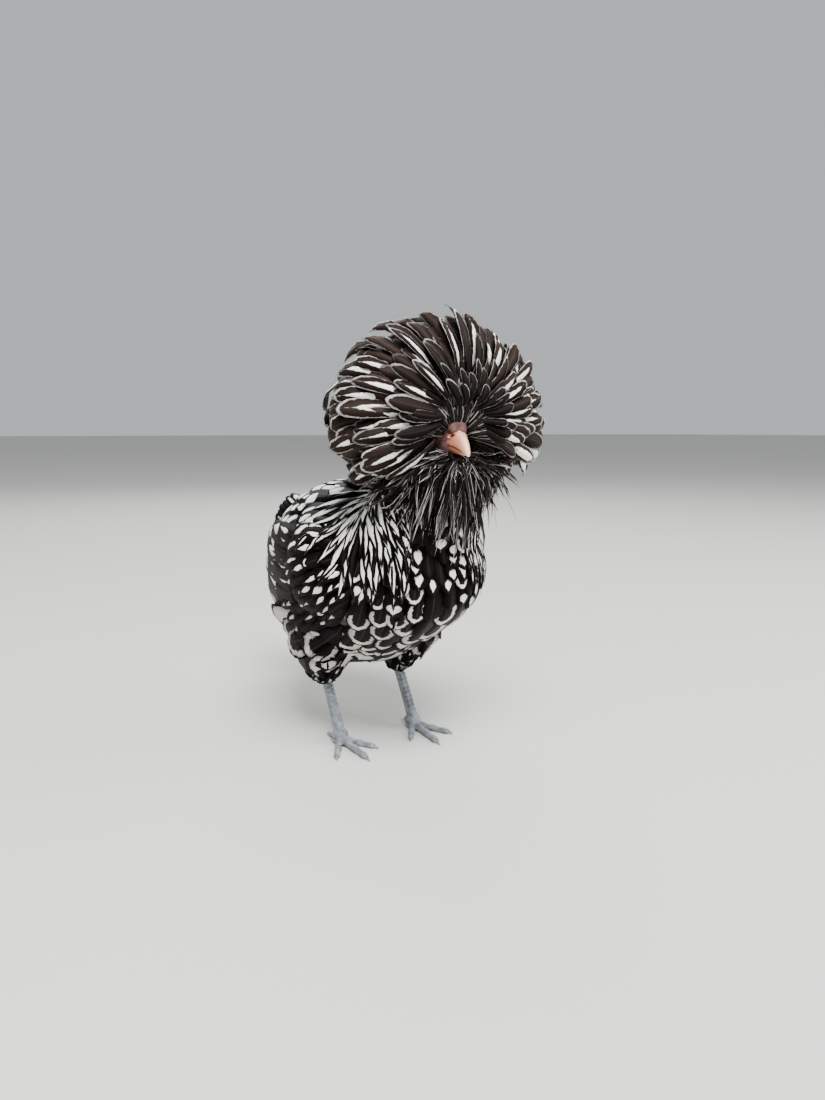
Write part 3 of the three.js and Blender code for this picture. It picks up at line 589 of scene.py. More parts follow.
@dataclass
class Plumage:
    """Feathers of one shape, gathered to be made as one joined mesh.

    At each station a vane has four corners: left edge, top, right edge and underside.
    """

    shape: VaneShape
    batches: list[tuple[Array, ...]] = field(default_factory=list)

    def add(self, line: Array, face: Array, width: Array, mark: Array, tone: Array, root: Array) -> None:
        """Takes in a batch of feathers.

        Args:
            line: Their centre lines, as feathers by stations by 3.
            face: Outward directions at the same places.
            width: Full width of each.
            mark: White half width, where the white starts, rim and inner oval of each.
            tone: Chance, brownness, greyness and pale lacing of each.
            root: Each root's place on the unwrapped skin.
        """
        self.batches.append((line, face, width, mark, tone, root))

    def corners(self, line: Array, face: Array, width: Array) -> Array:
        """Places the corners of every vane.

        Args:
            line: The centre lines.
            face: Outward directions.
            width: Full widths.

        Returns:
            Points as feathers by stations by 4 by 3.
        """
        along = unit(np.gradient(line, axis=1))
        side = unit(np.cross(along, face))
        up = np.cross(side, along)
        share = np.array(self.shape.share)[None, :, None]
        width = width[:, None, None]
        out = side * width * share / 2
        thin = np.linspace(1.0, self.shape.tip_thick, len(self.shape.share))[None, :, None]
        crown = up * (self.shape.cup * width * share * 0.5)
        half_thick = up * (self.shape.thick * thin / 2)
        under = line - half_thick - crown * 0.4
        return np.stack([line - out - crown, line + half_thick, line + out - crown, under], axis=2)

    @staticmethod
    def quads(count: int, stations: int) -> Array:
        """Numbers the corners of every face: the four sides of each vane and its two ends.

        Args:
            count: How many feathers.
            stations: Stations of each.

        Returns:
            Corner numbers, as faces by 4.
        """
        base = np.arange(count)[:, None, None] * stations * 4
        rung = base + np.arange(stations - 1)[None, :, None] * 4
        pairs = [(k, (k + 1) % 4) for k in range(4)]
        sides = [np.stack([rung + k, rung + j, rung + 4 + j, rung + 4 + k], axis=-1) for k, j in pairs]
        first = base[:, 0] + np.array([3, 2, 1, 0])
        last = base[:, 0] + (stations - 1) * 4 + np.array([0, 1, 2, 3])
        return np.concatenate([np.concatenate(sides, axis=2).reshape(-1, 4), first, last])

    def build(self, name: str) -> Piece:
        """Makes the joined mesh, with its maps and marking values.

        Args:
            name: The piece's name.

        Returns:
            The object.
        """
        line, face, width, mark, tone, root = (np.concatenate(column) for column in zip(*self.batches))
        points = self.corners(line, face, width)
        count, stations = points.shape[:2]
        polys = self.quads(count, stations)
        mesh = bpy.data.meshes.new(name)
        mesh.vertices.add(count * stations * 4)
        mesh.vertices.foreach_set("co", ((points.reshape(-1, 3) + SHIFT) * MM).astype(np.float32).ravel())
        mesh.loops.add(polys.size)
        mesh.loops.foreach_set("vertex_index", polys.ravel().astype(np.int32))
        mesh.polygons.add(len(polys))
        mesh.polygons.foreach_set("loop_start", np.arange(0, polys.size, 4, dtype=np.int32))
        mesh.update(calc_edges=True)
        across = np.tile(np.array([0.0, 0.5, 1.0, 0.5]), count * stations)
        length = np.tile(np.repeat(np.array(self.shape.along), 4), count)
        vane = np.stack([across, length], axis=1)
        bake = np.repeat(root, stations * 4, axis=0) + (vane - 0.5) * PATCH
        for layer, uv in (("vane", vane), ("OFBake", bake)):
            corners = uv[polys.ravel()].astype(np.float32)
            mesh.uv_layers.new(name=layer).data.foreach_set("uv", corners.ravel())
        for layer, values in (("marking", mark), ("tone", tone)):
            spread = np.repeat(values, stations * 4, axis=0).astype(np.float32)
            mesh.attributes.new(layer, "FLOAT_COLOR", "POINT").data.foreach_set("color", spread.ravel())
        mesh.shade_smooth()
        mesh.validate()
        log.info("%s: %d feathers", name, count)
        return linked(name, mesh)


class Marking(Enum):
    """Patterns of a silver-laced feather: white half width, where white starts, rim and inner black oval."""

    SPECK = (0.36, 0.5, 0.06, -0.5)
    HEART = (0.6, 0.58, 0.07, -0.5)
    CRESCENT = (1.0, 0.47, 0.13, 0.5)
    DROP = (0.62, 0.54, 0.14, 0.0)
    STREAK = (0.36, 0.1, 0.04, -0.5)
    SPINDLE = (0.36, 0.38, 0.14, -0.5)
    LACED = (1.0, 0.05, 0.16, 0.0)
    DARK = (0.0, 0.5, 0.3, 0.0)
    HAIR = (0.0, 0.5, 0.85, 0.0)


def drawn(rng: Draws, weights: Array, kinds: Sequence[Marking], spread: float = 0.25) -> Array:
    """Draws each feather's marking from shares of the kinds that grow there.

    Args:
        rng: The random numbers.
        weights: Shares, as feathers by kinds.
        kinds: The kinds.
        spread: How much the values vary.

    Returns:
        Marking values, as feathers by 4.
    """
    total = np.cumsum(weights, axis=1)
    pick = (rng.random((len(weights), 1)) * total[:, -1:] > total).sum(axis=1)
    values = np.array([kind.value for kind in kinds])[np.minimum(pick, len(kinds) - 1)]
    return values * (1 + rng.uniform(-spread, spread, values.shape) * np.array([1, 0.6, 1, 0.5]))


def toned(*values: Array | float) -> Array:
    """Joins chance, brownness, greyness and pale lacing into tone values, as feathers by 4."""
    return np.stack(np.broadcast_arrays(*values), axis=1)


def twisted(line: Array, face: Array, twist: Array) -> Array:
    """Turns feathers' outward directions about their centre lines, by the tangent of an angle."""
    return unit(face + twist * np.cross(unit(np.gradient(line, axis=1)), face))


def globe_map(way: Array) -> Array:
    """Places unit directions on an unwrapped ball, from 0 to 1, with areas kept."""
    turn = np.arctan2(way[:, 0], way[:, 2]) / (2 * math.pi) + 0.5
    return np.stack([0.02 + 0.96 * turn, 0.02 + 0.96 * (way[:, 1] + 1) / 2], axis=1)


def body_map(points: Array) -> Array:
    """Places points on the body's skin, unwrapped from its middle."""
    middle, half = np.array([0.0, 15.0, 140.0]), np.array([82.0, 122.0, 86.0])
    return globe_map(unit((points - middle) / half))


BODY_KINDS = (Marking.DARK, Marking.SPECK, Marking.HEART, Marking.CRESCENT, Marking.DROP, Marking.LACED)


class Region(Enum):
    """Parts of the body, with the shares of the markings that grow there, in the order of BODY_KINDS."""

    UPPER_BREAST = (0.7, 0.7, 0.9, 0.3, 0.05, 0.0)
    UPPER_FLANK = (1.0, 1.2, 0.2, 0.15, 0.2, 0.03)
    BACK = (0.25, 0.1, 0.1, 0.0, 1.1, 0.0)
    LOWER_BODY = (0.35, 0.0, 0.2, 2.0, 0.0, 0.0)
    LOWER_FLANK = (0.0, 0.0, 0.0, 0.0, 0.0, 0.09)
    WING_BOW = (1.3, 1.7, 0.05, 0.0, 0.1, 0.0)
    SHOULDER = (1.2, 0.5, 0.2, 0.0, 1.5, 0.0)
    THIGH_FRONT = (2.0, 0.0, 0.2, 0.5, 0.8, 0.0)
    THIGH_REAR = (2.4, 0.0, 0.2, 0.4, 0.5, 0.1)


def shares(*regions: Region) -> Array:
    """The shares of each kind of marking, as regions by kinds."""
    return np.array([region.value for region in regions])


@dataclass(frozen=True)
class Tract:
    """A tract of the coat: its kind of feather, its sizes, the rise of the tips and how it grows."""

    name: str
    shape: VaneShape
    length: float
    width: float
    rise: float
    growth: Callable[[Array], Array]


@dataclass
class BodyCoat:
    """Contour feathers over breast, back, flanks, belly, neck, thighs and wing bows.

    A pair of sizes says where a part of the coat begins and where it is complete, in millimetres.
    """

    surface: CoatSurface
    seed: int = 5
    sink: float = 4.0
    bow_middle: tuple[float, float] = (-24, 153)
    bow_half: tuple[float, float] = (50, 43)
    bow_out: float = 48
    shoulder: tuple[float, float] = (158, 180)
    thigh_middle: tuple[float, float] = (41, 27)
    thigh_height: tuple[float, float] = (34, 84)
    thigh_reach: float = 36
    thigh_inside: float = 22
    neck_back: float = -62
    under_crest: float = 240
    breast_gap: float = 9.2
    hackle_gap: float = 5.6
    bow_gap: float = 7.2
    thigh_gap: float = 11.0

    def on_wing(self, p: Array) -> Array:
        """Tells which points lie on a folded wing's bow."""
        reach = ((p[:, 1:] - np.array(self.bow_middle)) / np.array(self.bow_half)) ** 2
        return (np.abs(p[:, 0]) > self.bow_out) & (reach.sum(axis=1) < 1)

    def on_thigh(self, p: Array) -> Array:
        """Tells which points lie on a thigh, below the body."""
        x, y, z = p.T
        out, back = self.thigh_middle
        low, high = self.thigh_height
        near = np.hypot(np.abs(x) - out, y - back)
        return (z < high) & (near < self.thigh_reach + (z - low) * 0.1) & (np.abs(x) > self.thigh_inside)

    def hackle_share(self, p: Array) -> Array:
        """How far points lie in the cape of neck feathers, which parts over the breast, from 0 to 1."""
        x, y, z = p.T
        cape = fade(np.hypot(x * 0.85, y - self.neck_back), 56, 76) * fade(y, -40, -12)
        front = smooth(-y, 78, 100)
        return cape * smooth(z, 168, 186) * (1 - 0.85 * front * fade(np.abs(x), 18, 40))

    @staticmethod
    def chest(p: Array) -> Array:
        """How far points lie on the upper breast, where feathers are small and close, from 0 to 1."""
        return smooth(-p[:, 1], 50, 90) * smooth(p[:, 2], 130, 160)

    @staticmethod
    def lie(p: Array, normal: Array, zone: tuple[Array, Array, Array]) -> Array:
        """Which way the feathers lie at given points.

        Args:
            p: The points.
            normal: The normals there.
            zone: Share in the cape, and whether it grows on a wing or a thigh, of each feather.

        Returns:
            Unit directions along the surface.
        """
        x, y, z = p.T
        cape, wing, leg = (share[:, None] for share in zone)
        down = np.interp(y, [-100, -70, -30, 30, 90, 130], [3.6, 2.2, 0.75, 0.3, 0.3, 1.2])
        back_and_down = np.stack([x * 0.004, np.ones(len(p)), -down], axis=1)
        off_neck = np.stack([x * 0.02, (y + 38) * 0.028, np.full(len(p), -1.0)], axis=1)
        to_tail = np.stack([-x * 0.012, np.ones(len(p)), (176 - z) * 0.02], axis=1)
        rump = smooth(y, 78, 104) * smooth(z, 140, 160) * fade(np.abs(x), 30, 52)
        way = mix(mix(back_and_down, off_neck, cape), to_tail, rump[:, None])
        way = np.where(wing, np.array([0.0, 1.0, -0.42]), way)
        way = np.where(leg, np.array([0.0, 0.25, -1.0]), way)
        return unit(way - normal * (way * normal).sum(axis=1, keepdims=True))

    def spacing(self, p: Array) -> Array:
        """Distance between neighbouring roots at given points, or 0 where nothing grows."""
        z = p[:, 2]
        space = mix(np.interp(z, [110, 150], [15.0, 12.0]), self.breast_gap, self.chest(p))
        space = mix(space, self.hackle_gap, self.hackle_share(p))
        space = np.where(self.on_wing(p), self.bow_gap, space)
        space = np.where(self.on_thigh(p), self.thigh_gap, space)
        return np.where((z > self.under_crest) | (z < self.thigh_height[0]), 0.0, space)

    def laid(self, roots: Array, normals: Array, tract: Tract, length: Array) -> tuple[Array, Array]:
        """Lays feathers along the surface from their roots.

        Args:
            roots: Places of the roots on the surface.
            normals: Normals there.
            tract: The tract that they belong to.
            length: Length of each feather.

        Returns:
            Centre lines and outward directions, as feathers by stations by 3.
        """
        at, normal = roots, normals
        zone = (self.hackle_share(roots), self.on_wing(roots), self.on_thigh(roots))
        line, face = [at - normal * self.sink], [normal]
        # The flank's soft feathers stand out over the thigh and hide its upper end.
        x, y, z = roots.T
        flank = smooth(np.abs(x), 26, 46) * smooth(z, 70, 92) * fade(z, 108, 132)
        rise = tract.rise + (7.0 * flank * fade(np.abs(y - 12), 34, 60))[:, None]
        for before, here in zip(tract.shape.along, tract.shape.along[1:]):
            step = (length * (here - before))[:, None]
            at, normal = self.surface.nearest(at + self.lie(at, normal, zone) * step)
            height = -self.sink + (self.sink + rise) * here**0.62
            line.append(at + normal * height)
            face.append(normal)
        return np.stack(line, axis=1), np.stack(face, axis=1)

    def marking(self, p: Array, rng: Draws) -> tuple[Array, Array]:
        """Draws the markings and tones of feathers rooted at given points.

        Args:
            p: The roots.
            rng: The random numbers.

        Returns:
            Marking values and tone values.
        """
        _, y, z = p.T
        breast = smooth(-y, 10, 60)
        low = fade(z, 128, 154)
        back = smooth(z, 172, 200) * (1 - breast)
        side = (1 - breast) * (1 - back)
        parts = np.stack([breast * (1 - low), side * (1 - low), back, low, side * low], axis=1)
        body = (Region.UPPER_BREAST, Region.UPPER_FLANK, Region.BACK, Region.LOWER_BODY, Region.LOWER_FLANK)
        on_bow = mix(*shares(Region.WING_BOW, Region.SHOULDER), smooth(z, *self.shoulder)[:, None])
        on_leg = mix(*shares(Region.THIGH_FRONT, Region.THIGH_REAR), smooth(y, 10, 45)[:, None])
        wing, leg = self.on_wing(p)[:, None], self.on_thigh(p)[:, None]
        weights = np.where(leg, on_leg, np.where(wing, on_bow, parts @ shares(*body)))
        mark = drawn(rng, weights, BODY_KINDS)
        mark[:, 1] += 0.13 * leg[:, 0]
        count = len(p)
        grey = 0.02 + 0.6 * leg[:, 0] + 0.6 * low * (1 - leg[:, 0]) + rng.uniform(-0.03, 0.12, count)
        return mark, toned(rng.random(count), rng.uniform(0, 0.12, count), np.clip(grey, 0, 1), 0.0)

    def tract(self, tract: Tract, p: Array, normal: Array, rng: Draws) -> Piece:
        """Makes the feathers of one tract.

        Args:
            tract: The tract.
            p: Places of the roots.
            normal: Normals there.
            rng: The random numbers.

        Returns:
            Its one piece.
        """
        count = len(p)
        size = rng.uniform(0.86, 1.14, count) * tract.growth(p)
        line, face = self.laid(p, normal, tract, tract.length * size)
        face = twisted(line, face, rng.uniform(-0.16, 0.16, (count, 1, 1)))
        mark, tone = self.marking(p, rng)
        if tract.shape is LANCE:
            weights = np.tile([0.85, 0.15, 0.08], (count, 1))
            mark = drawn(rng, weights, (Marking.STREAK, Marking.SPINDLE, Marking.DARK))
            mark[:, 0] *= rng.uniform(1.6, 2.4, count)
            tone[:, 2] = rng.uniform(0, 0.06, count)
        plumage = Plumage(tract.shape)
        plumage.add(line, face, tract.width * size * rng.uniform(0.9, 1.1, count), mark, tone, body_map(p))
        return plumage.build(tract.name)

    def build(self) -> list[Piece]:
        """Makes the coat in pieces.

        Returns:
            Pieces of body, neck cape, thighs and both wing bows.
        """
        rng = np.random.default_rng(self.seed)
        roots, normals = self.surface.scattered(self.spacing, self.seed)
        cape = self.hackle_share(roots) > rng.uniform(0.35, 0.65, len(roots))
        wing, leg, left = self.on_wing(roots), self.on_thigh(roots), roots[:, 0] > 0

        def on_body(p: Array) -> Array:
            """Larger feathers below and smaller ones on the breast."""
            return np.interp(p[:, 2], [110, 150, 180], [1.28, 1.0, 0.94]) * mix(1.0, 0.7, self.chest(p))

        def on_bow(p: Array) -> Array:
            """Larger feathers at the shoulder."""
            return mix(1.0, 1.5, smooth(p[:, 2], *self.shoulder))

        def on_leg(p: Array) -> Array:
            """Smaller feathers towards the hock."""
            return np.interp(p[:, 2], [self.thigh_height[0], 60], [0.62, 1.0])

        tracts = (
            (~(cape | wing | leg), Tract("body_feathers", ROUNDED, 43.0, 23.0, 1.0, on_body)),
            (cape & ~wing, Tract("hackle_feathers", LANCE, 50.0, 8.2, 2.2, lambda p: np.ones(len(p)))),
            (leg & ~cape, Tract("thigh_feathers", ROUNDED, 34.0, 23.0, 1.8, on_leg)),
            (wing & left, Tract("wing_bow_left", ROUNDED, 26.0, 10.0, 1.6, on_bow)),
            (wing & ~left, Tract("wing_bow_right", ROUNDED, 26.0, 10.0, 1.6, on_bow)),
        )
        return [self.tract(tract, roots[chosen], normals[chosen], rng) for chosen, tract in tracts]


@dataclass(frozen=True)
class GlobeCoat:
    """Feathers that spread from a core to the surface of a ball, row behind row.

    rows holds the tips' polar angles, spacing the distance between tips in a row, reach and run how
    far a feather lies over the rows in front of it, ragged how uneven its length is, flat how soon it
    rises from the core, and share how near to the surface it comes.
    """

    globe: Globe
    shape: VaneShape
    rows: tuple[float, ...]
    spacing: float
    reach: float
    width: float
    ragged: float = 0.12
    flat: float = 2.4
    share: float = 1.0
    run: float = 0.75

    def seeds(self, rng: Draws) -> tuple[Array, Array]:
        """Draws the polar angle and turn of every feather.

        Args:
            rng: The random numbers.

        Returns:
            Polar angles and turns, in radians.
        """
        left, right, _, _, top, _ = self.globe.half
        mean = (left + right + top) / 3
        polars, turns = [], []
        for row, (degrees, gap) in enumerate(zip(self.rows, np.gradient(self.rows))):
            girth = 2 * math.pi * mean * math.sin(math.radians(degrees))
            count = max(5, round(girth / self.spacing))
            polars.append(np.radians(degrees + rng.uniform(-0.4, 0.4, count) * gap))
            steps = np.arange(count) + (row % 2) / 2 + rng.uniform(-0.3, 0.3, count)
            turns.append(steps / count * 2 * math.pi)
        return np.concatenate(polars), np.concatenate(turns)

    def curves(self, polar: Array, turn: Array, rng: Draws) -> tuple[Array, Array, Array]:
        """Bends each feather from its root on the core, over the rows in front of it, to its tip.

        Args:
            polar: Polar angles of the tips.
            turn: Turns of the tips.
            rng: The random numbers.

        Returns:
            Centre lines, outward directions, and the tips' directions from the middle.
        """
        long = 1 + rng.uniform(-0.85 * self.ragged, self.ragged * 0.5, len(polar))
        swing = np.minimum(math.radians(self.reach), polar * self.run)
        middle = np.array(self.globe.centre)
        line, face = [], []
        for t in self.shape.along:
            way = self.globe.direction(polar - swing * (1 - t), turn)
            risen = (1 - (1 - t) ** self.flat) * self.share
            point = mix(self.globe.surface(way, core=True), self.globe.surface(way), risen)
            stretch = (1 + (long - 1) * t * t)[:, None]
            line.append(middle + (point - middle) * stretch)
            face.append(way)
        return np.stack(line, axis=1), np.stack(face, axis=1), unit(line[-1] - middle)


def outside(line: Array, clear: Callable[[Array], Array], stations: Sequence[int]) -> Array:
    """Tells which centre lines are clear, as a function of points tells it, at the given stations."""
    return np.all([clear(line[:, k]) for k in stations], axis=0)


@dataclass(frozen=True)
class BareFace:
    """Where no feather may grow: round face and bill, and where the feathers part ahead of each cheek.

    Places are to the left of the mouth's corners, ahead of them and above them, in the head's frame.
    """

    ahead: tuple[float, float] = (-8, 40)
    up: tuple[float, float] = (-9, 21)
    half_at: tuple[float, ...] = (-12, 0, 12, 30)
    half: tuple[float, ...] = (10, 11.5, 10.5, 9)
    cheek: tuple[float, float, float] = (13.0, -9.0, -1.0)
    parting: tuple[float, float, float] = (0.44, 0.89, 0.08)
    parting_long: tuple[float, float] = (-4, 70)
    parting_half: tuple[float, float] = (11.0, 6.5)

    @staticmethod
    def placed(p: Array) -> Array:
        """Places of points in the head's frame: to its left, ahead and up."""
        inverse = np.array(HEAD.matrix().inverted())
        return (p @ inverse[:3, :3].T + inverse[:3, 3]) * np.array([1, -1, 1])

    def holds(self, p: Array, grow: float = 0.0) -> Array:
        """Tells which points lie in the bare face and bill, grown by a distance."""
        left, ahead, up = self.placed(p).T
        half = np.interp(ahead, self.half_at, self.half) + grow
        within = (ahead > self.ahead[0]) & (ahead < self.ahead[1])
        return within & (np.abs(left) < half) & (up > self.up[0] - grow) & (up < self.up[1] + grow)

    def parts(self, p: Array) -> Array:
        """Tells which points would hide the bare cheeks, where the feathers part."""
        q = self.placed(p)
        q[..., 0] = np.abs(q[..., 0])
        way = unit(np.array(self.parting))
        q = q - np.array(self.cheek)
        along = q @ way
        off = q - along[..., None] * way
        across, upright = self.parting_half
        wide = np.hypot(np.hypot(off[..., 0], off[..., 1]) / across, off[..., 2] / upright)
        return (along > self.parting_long[0]) & (along < self.parting_long[1]) & (wide < 1)


FACE = BareFace()


@dataclass
class CrestCoat:
    """The round crest, feather by feather from the forehead to the nape, over a dark inner layer."""

    outer: GlobeCoat = GlobeCoat(CREST, SPOON, (8, 20, 35, 54, 78, 104, 130, 152), 10.0, 58, 15.5)
    under: GlobeCoat = GlobeCoat(
        CREST, SPOON, (12, 28, 46, 64, 82, 100, 118, 136, 154), 11.5, 50, 15.0, ragged=0.1, share=0.85
    )
    seed: int = 17
    tuft_across: tuple[float, float, float] = (0.866, -0.5, 0.0)
    tuft_middle: float = 0.14
    tuft_half: float = 0.11
    tuft_low: float = 0.88
    face_spread: float = 40
    face_reach: float = 118
    face_clear: float = 14.0

    def build(self) -> list[Piece]:
        """Makes the crest.

        Returns:
            Its one piece.
        """
        plumage = Plumage(SPOON)
        for coat, shown in ((self.outer, 1.0), (self.under, 0.0)):
            self.add_layer(plumage, coat, shown)
        return [plumage.build("crest_feathers")]

    def add_layer(self, plumage: Plumage, coat: GlobeCoat, shown: float) -> None:
        """Adds one layer of the crest.

        Args:
            plumage: Where it is added.
            coat: How it grows.
            shown: 1 for the marked outer layer, 0 for the dark one beneath.
        """
        rng = np.random.default_rng(self.seed + int(shown))
        polar, turn = coat.seeds(rng)
        line, face, tip_way = coat.curves(polar, turn, rng)
        # One tuft at the top, a little to the hen's left, stands ragged above the rest.
        tuft = np.abs(tip_way @ np.array(self.tuft_across) - self.tuft_middle) < self.tuft_half
        tuft &= tip_way[:, 2] > self.tuft_low
        longer = (tuft * rng.uniform(0.02, 0.11, len(line)))[:, None, None] * SPOON.lengthwise(2)
        line = line + (line - np.array(CREST.centre)) * longer
        over_face = np.cos(turn - math.pi) > math.cos(math.radians(self.face_spread))
        over_face &= polar < math.radians(self.face_reach)
        lowest = np.where(tip_way[:, 1] > 0.35, -0.93, -0.84)
        keep = ~over_face & (tip_way[:, 2] > lowest) & outside(line, self.clear, (2, 3, 4, 5, 6))
        line, face, polar, tip_way = line[keep], face[keep], polar[keep], tip_way[keep]
        count = len(line)
        face = twisted(line, face, rng.uniform(-0.45, 0.45, (count, 1, 1)))
        # On the hen's left side the light feathers come closer to the face.
        left = smooth(tip_way[:, 0], 0.1, 0.45)
        ahead = fade(polar + 0.25 * left, 0.55, 1.15)
        off_face = np.linalg.norm(line[:, 3] - np.array(HEAD.place(0, 5, 8)), axis=1) + 14 * left
        front = np.maximum(ahead, fade(off_face, 38, 62))
        side = smooth(np.abs(tip_way[:, 0]), 0.2, 0.75) + 0.3 * smooth(-tip_way[:, 2], -0.2, 0.4)
        light = (0.22 + 0.78 * side) * (1 - front) * shown
        light = light * mix(0.85, 1.0, smooth(tip_way[:, 0], -0.3, 0.3)) * (1 + 0.5 * left)
        hanging = smooth(-tip_way[:, 2], 0.0, 0.4) * smooth(tip_way[:, 0], 0.1, 0.5)
        weights = np.stack([0.75 + 1.6 * ahead, light, light * (0.04 + 0.5 * hanging)], axis=1)
        mark = drawn(rng, weights, (Marking.DARK, Marking.SPINDLE, Marking.DROP), 0.2)
        tone = toned(
            rng.random(count),
            rng.uniform(0.45, 1.0, count) * (1 - 0.85 * front),
            rng.uniform(0.0, 0.25, count),
            rng.uniform(0.25, 0.85, count) * mix(1.0, 0.6, front) * mix(0.2, 1.0, shown),
        )
        narrow = mix(1.0, 0.55, front) * mix(1.0, 0.76, smooth(tip_way[:, 2], 0.2, 0.7))
        width = coat.width * rng.uniform(0.76, 1.06, count) * narrow
        plumage.add(line, face, width, mark, tone, globe_map(tip_way))

    def clear(self, p: Array) -> Array:
        """Tells which points keep clear of face, beard and muffs."""
        near = FACE.holds(p, self.face_clear) | FACE.parts(p) | BEARD.holds(p, 0.8)
        return ~(near | MUFFS[0].holds(p, 0.72) | MUFFS[1].holds(p, 0.72))


@dataclass
class BeardCoat:
    """The beard under the bill and the muffs on the cheeks, of narrow wispy feathers."""

    rows: tuple[float, ...] = tuple(range(32, 160, 10))
    gap: float = 2.8
    width: float = 3.0
    bend: float = 4.6
    wave: float = 2.6
    wave_turns: float = 5.0

    def build(self) -> list[Piece]:
        """Makes beard and muffs.

        Returns:
            Their one piece.
        """
        rng = np.random.default_rng(23)
        plumage = Plumage(WISP)
        for index, globe in enumerate((BEARD, *MUFFS)):
            coat = GlobeCoat(globe, WISP, self.rows, self.gap, 85, self.width, ragged=0.3, flat=1.8, run=0.85)
            polar, turn = coat.seeds(rng)
            line, face, tip_way = coat.curves(polar, turn, rng)
            keep = (tip_way[:, 2] < 0.85) & ((tip_way[:, 1] < 0.75) | (index > 0))
            keep &= outside(line, lambda p: ~FACE.holds(p, -0.5) & ~FACE.parts(p), (1, 2, 3, 4, 5))
            line, face, tip_way = line[keep], face[keep], tip_way[keep]
            count = len(line)
            # The wisps bend in a curve and a wave, sag, and spread outwards at their ends.
            squared = WISP.lengthwise(2)
            line = line + rng.normal(0, self.bend, (count, 1, 3)) * squared
            waves = np.sin(WISP.lengthwise() * self.wave_turns)
            line = line + rng.normal(0, self.wave, (count, 1, 3)) * waves
            line[..., 2] -= squared[..., 0] * rng.uniform(0, 5, (count, 1))
            out = line[..., 0] - globe.centre[0]
            line[..., 0] += out * squared[..., 0] * rng.uniform(0, 0.4, (count, 1))
            face = twisted(line, face, rng.uniform(-0.7, 0.7, (count, 1, 1)))
            mark = drawn(rng, np.ones((count, 1)), (Marking.HAIR,))
            chance, brown = rng.random(count), rng.uniform(0, 0.15, count)
            tone = toned(chance, brown, 0.0, np.maximum(rng.uniform(-0.9, 0.9, count), 0))
            # The three balls of feathers share one map, side by side.
            root = globe_map(tip_way) * np.array([0.32, 1.0]) + np.array([0.33 * index, 0])
            plumage.add(line, face, coat.width * rng.uniform(0.6, 1.25, count), mark, tone, root)
        return [plumage.build("beard_feathers")]


@dataclass
class FaceRuff:
    """Small feathers that spring from the skull round the bare face and hide the eye.

    Each ring says how far ahead its roots are, how many feathers it has, their length and their lean.
    """

    skull: tuple[float, float, float] = (15.5, 23.0, 17.0)
    middle: tuple[float, float] = (-20.0, 3.0)
    rings: tuple[tuple[float, int, float, float], ...] = (
        (-3, 28, 18, 0.0),
        (-5, 36, 25, 0.0),
        (-8, 44, 32, 0.05),
        (-11, 44, 38, 0.12),
        (-15, 40, 42, 0.25),
    )
    spread: tuple[float, float] = (-8, 188)
    rooted: float = 0.93

    def build(self) -> list[Piece]:
        """Makes the ruff.

        Returns:
            Its one piece.
        """
        rng = np.random.default_rng(29)
        plumage = Plumage(ROUNDED)
        along = ROUNDED.lengthwise()
        turn = np.array(HEAD.matrix())
        for ahead, count, length, lean in self.rings:
            angle = np.radians(np.linspace(*self.spread, count) + rng.uniform(-3, 3, count))
            girth = math.sqrt(1 - ((ahead - self.middle[0]) / self.skull[1]) ** 2)
            radial = np.stack([np.cos(angle), np.zeros(count), np.sin(angle)], axis=1)
            root = radial * np.array([self.skull[0], 0, self.skull[2]]) * girth * self.rooted
            root = root + np.array([0, -1, 0]) * (ahead + rng.uniform(-1.5, 1.5, count))[:, None]
            root = root + np.array([0, 0, self.middle[1]])
            long = length * rng.uniform(0.8, 1.2, count)[:, None]
            droop = np.array([0, 0, -0.35]) * (1 - radial[:, 2:]) * long
            tip = (root + radial * long + np.array([0, lean, 0]) * long + droop)[:, None]
            bend = (root + radial * long * 0.4 - np.array([0, 0.45, 0]) * long)[:, None]
            line = root[:, None] * (1 - along) ** 2 + bend * 2 * along * (1 - along) + tip * along**2
            line = line @ turn[:3, :3].T + turn[:3, 3]
            face = np.tile(np.array([0, -1.0, 0.0]) + radial[:, None] * 0.5, (1, len(ROUNDED.along), 1))
            face = unit(face @ turn[:3, :3].T + rng.uniform(-0.3, 0.3, (count, 1, 3)))
            keep = outside(line, lambda p: ~FACE.parts(p), (2, 3, 4, 5, 6))
            line, face, count = line[keep], face[keep], int(keep.sum())
            mark = drawn(rng, np.ones((count, 1)), (Marking.HAIR,))
            tone = toned(rng.random(count), rng.random(count) * 0.3, 0.3, rng.uniform(0.05, 0.5, count))
            root_map = globe_map(unit(root[keep] - np.array([0, -self.middle[0], self.middle[1]]))) * 0.5
            plumage.add(line, face, rng.uniform(3.6, 6.0, count), mark, tone, root_map)
        return [plumage.build("ruff_feathers")]


@dataclass(frozen=True)
class WingTier:
    """One tier of a wing from its top feather down.

    Places are along the body and up, and the falls say how far the lowest feather's root and tip lie from the
    top one's.
    """

    count: int
    root: tuple[float, float]
    tip: tuple[float, float]
    root_fall: tuple[float, float]
    tip_fall: tuple[float, float]
    lift: float
    width: float
    kind: Marking


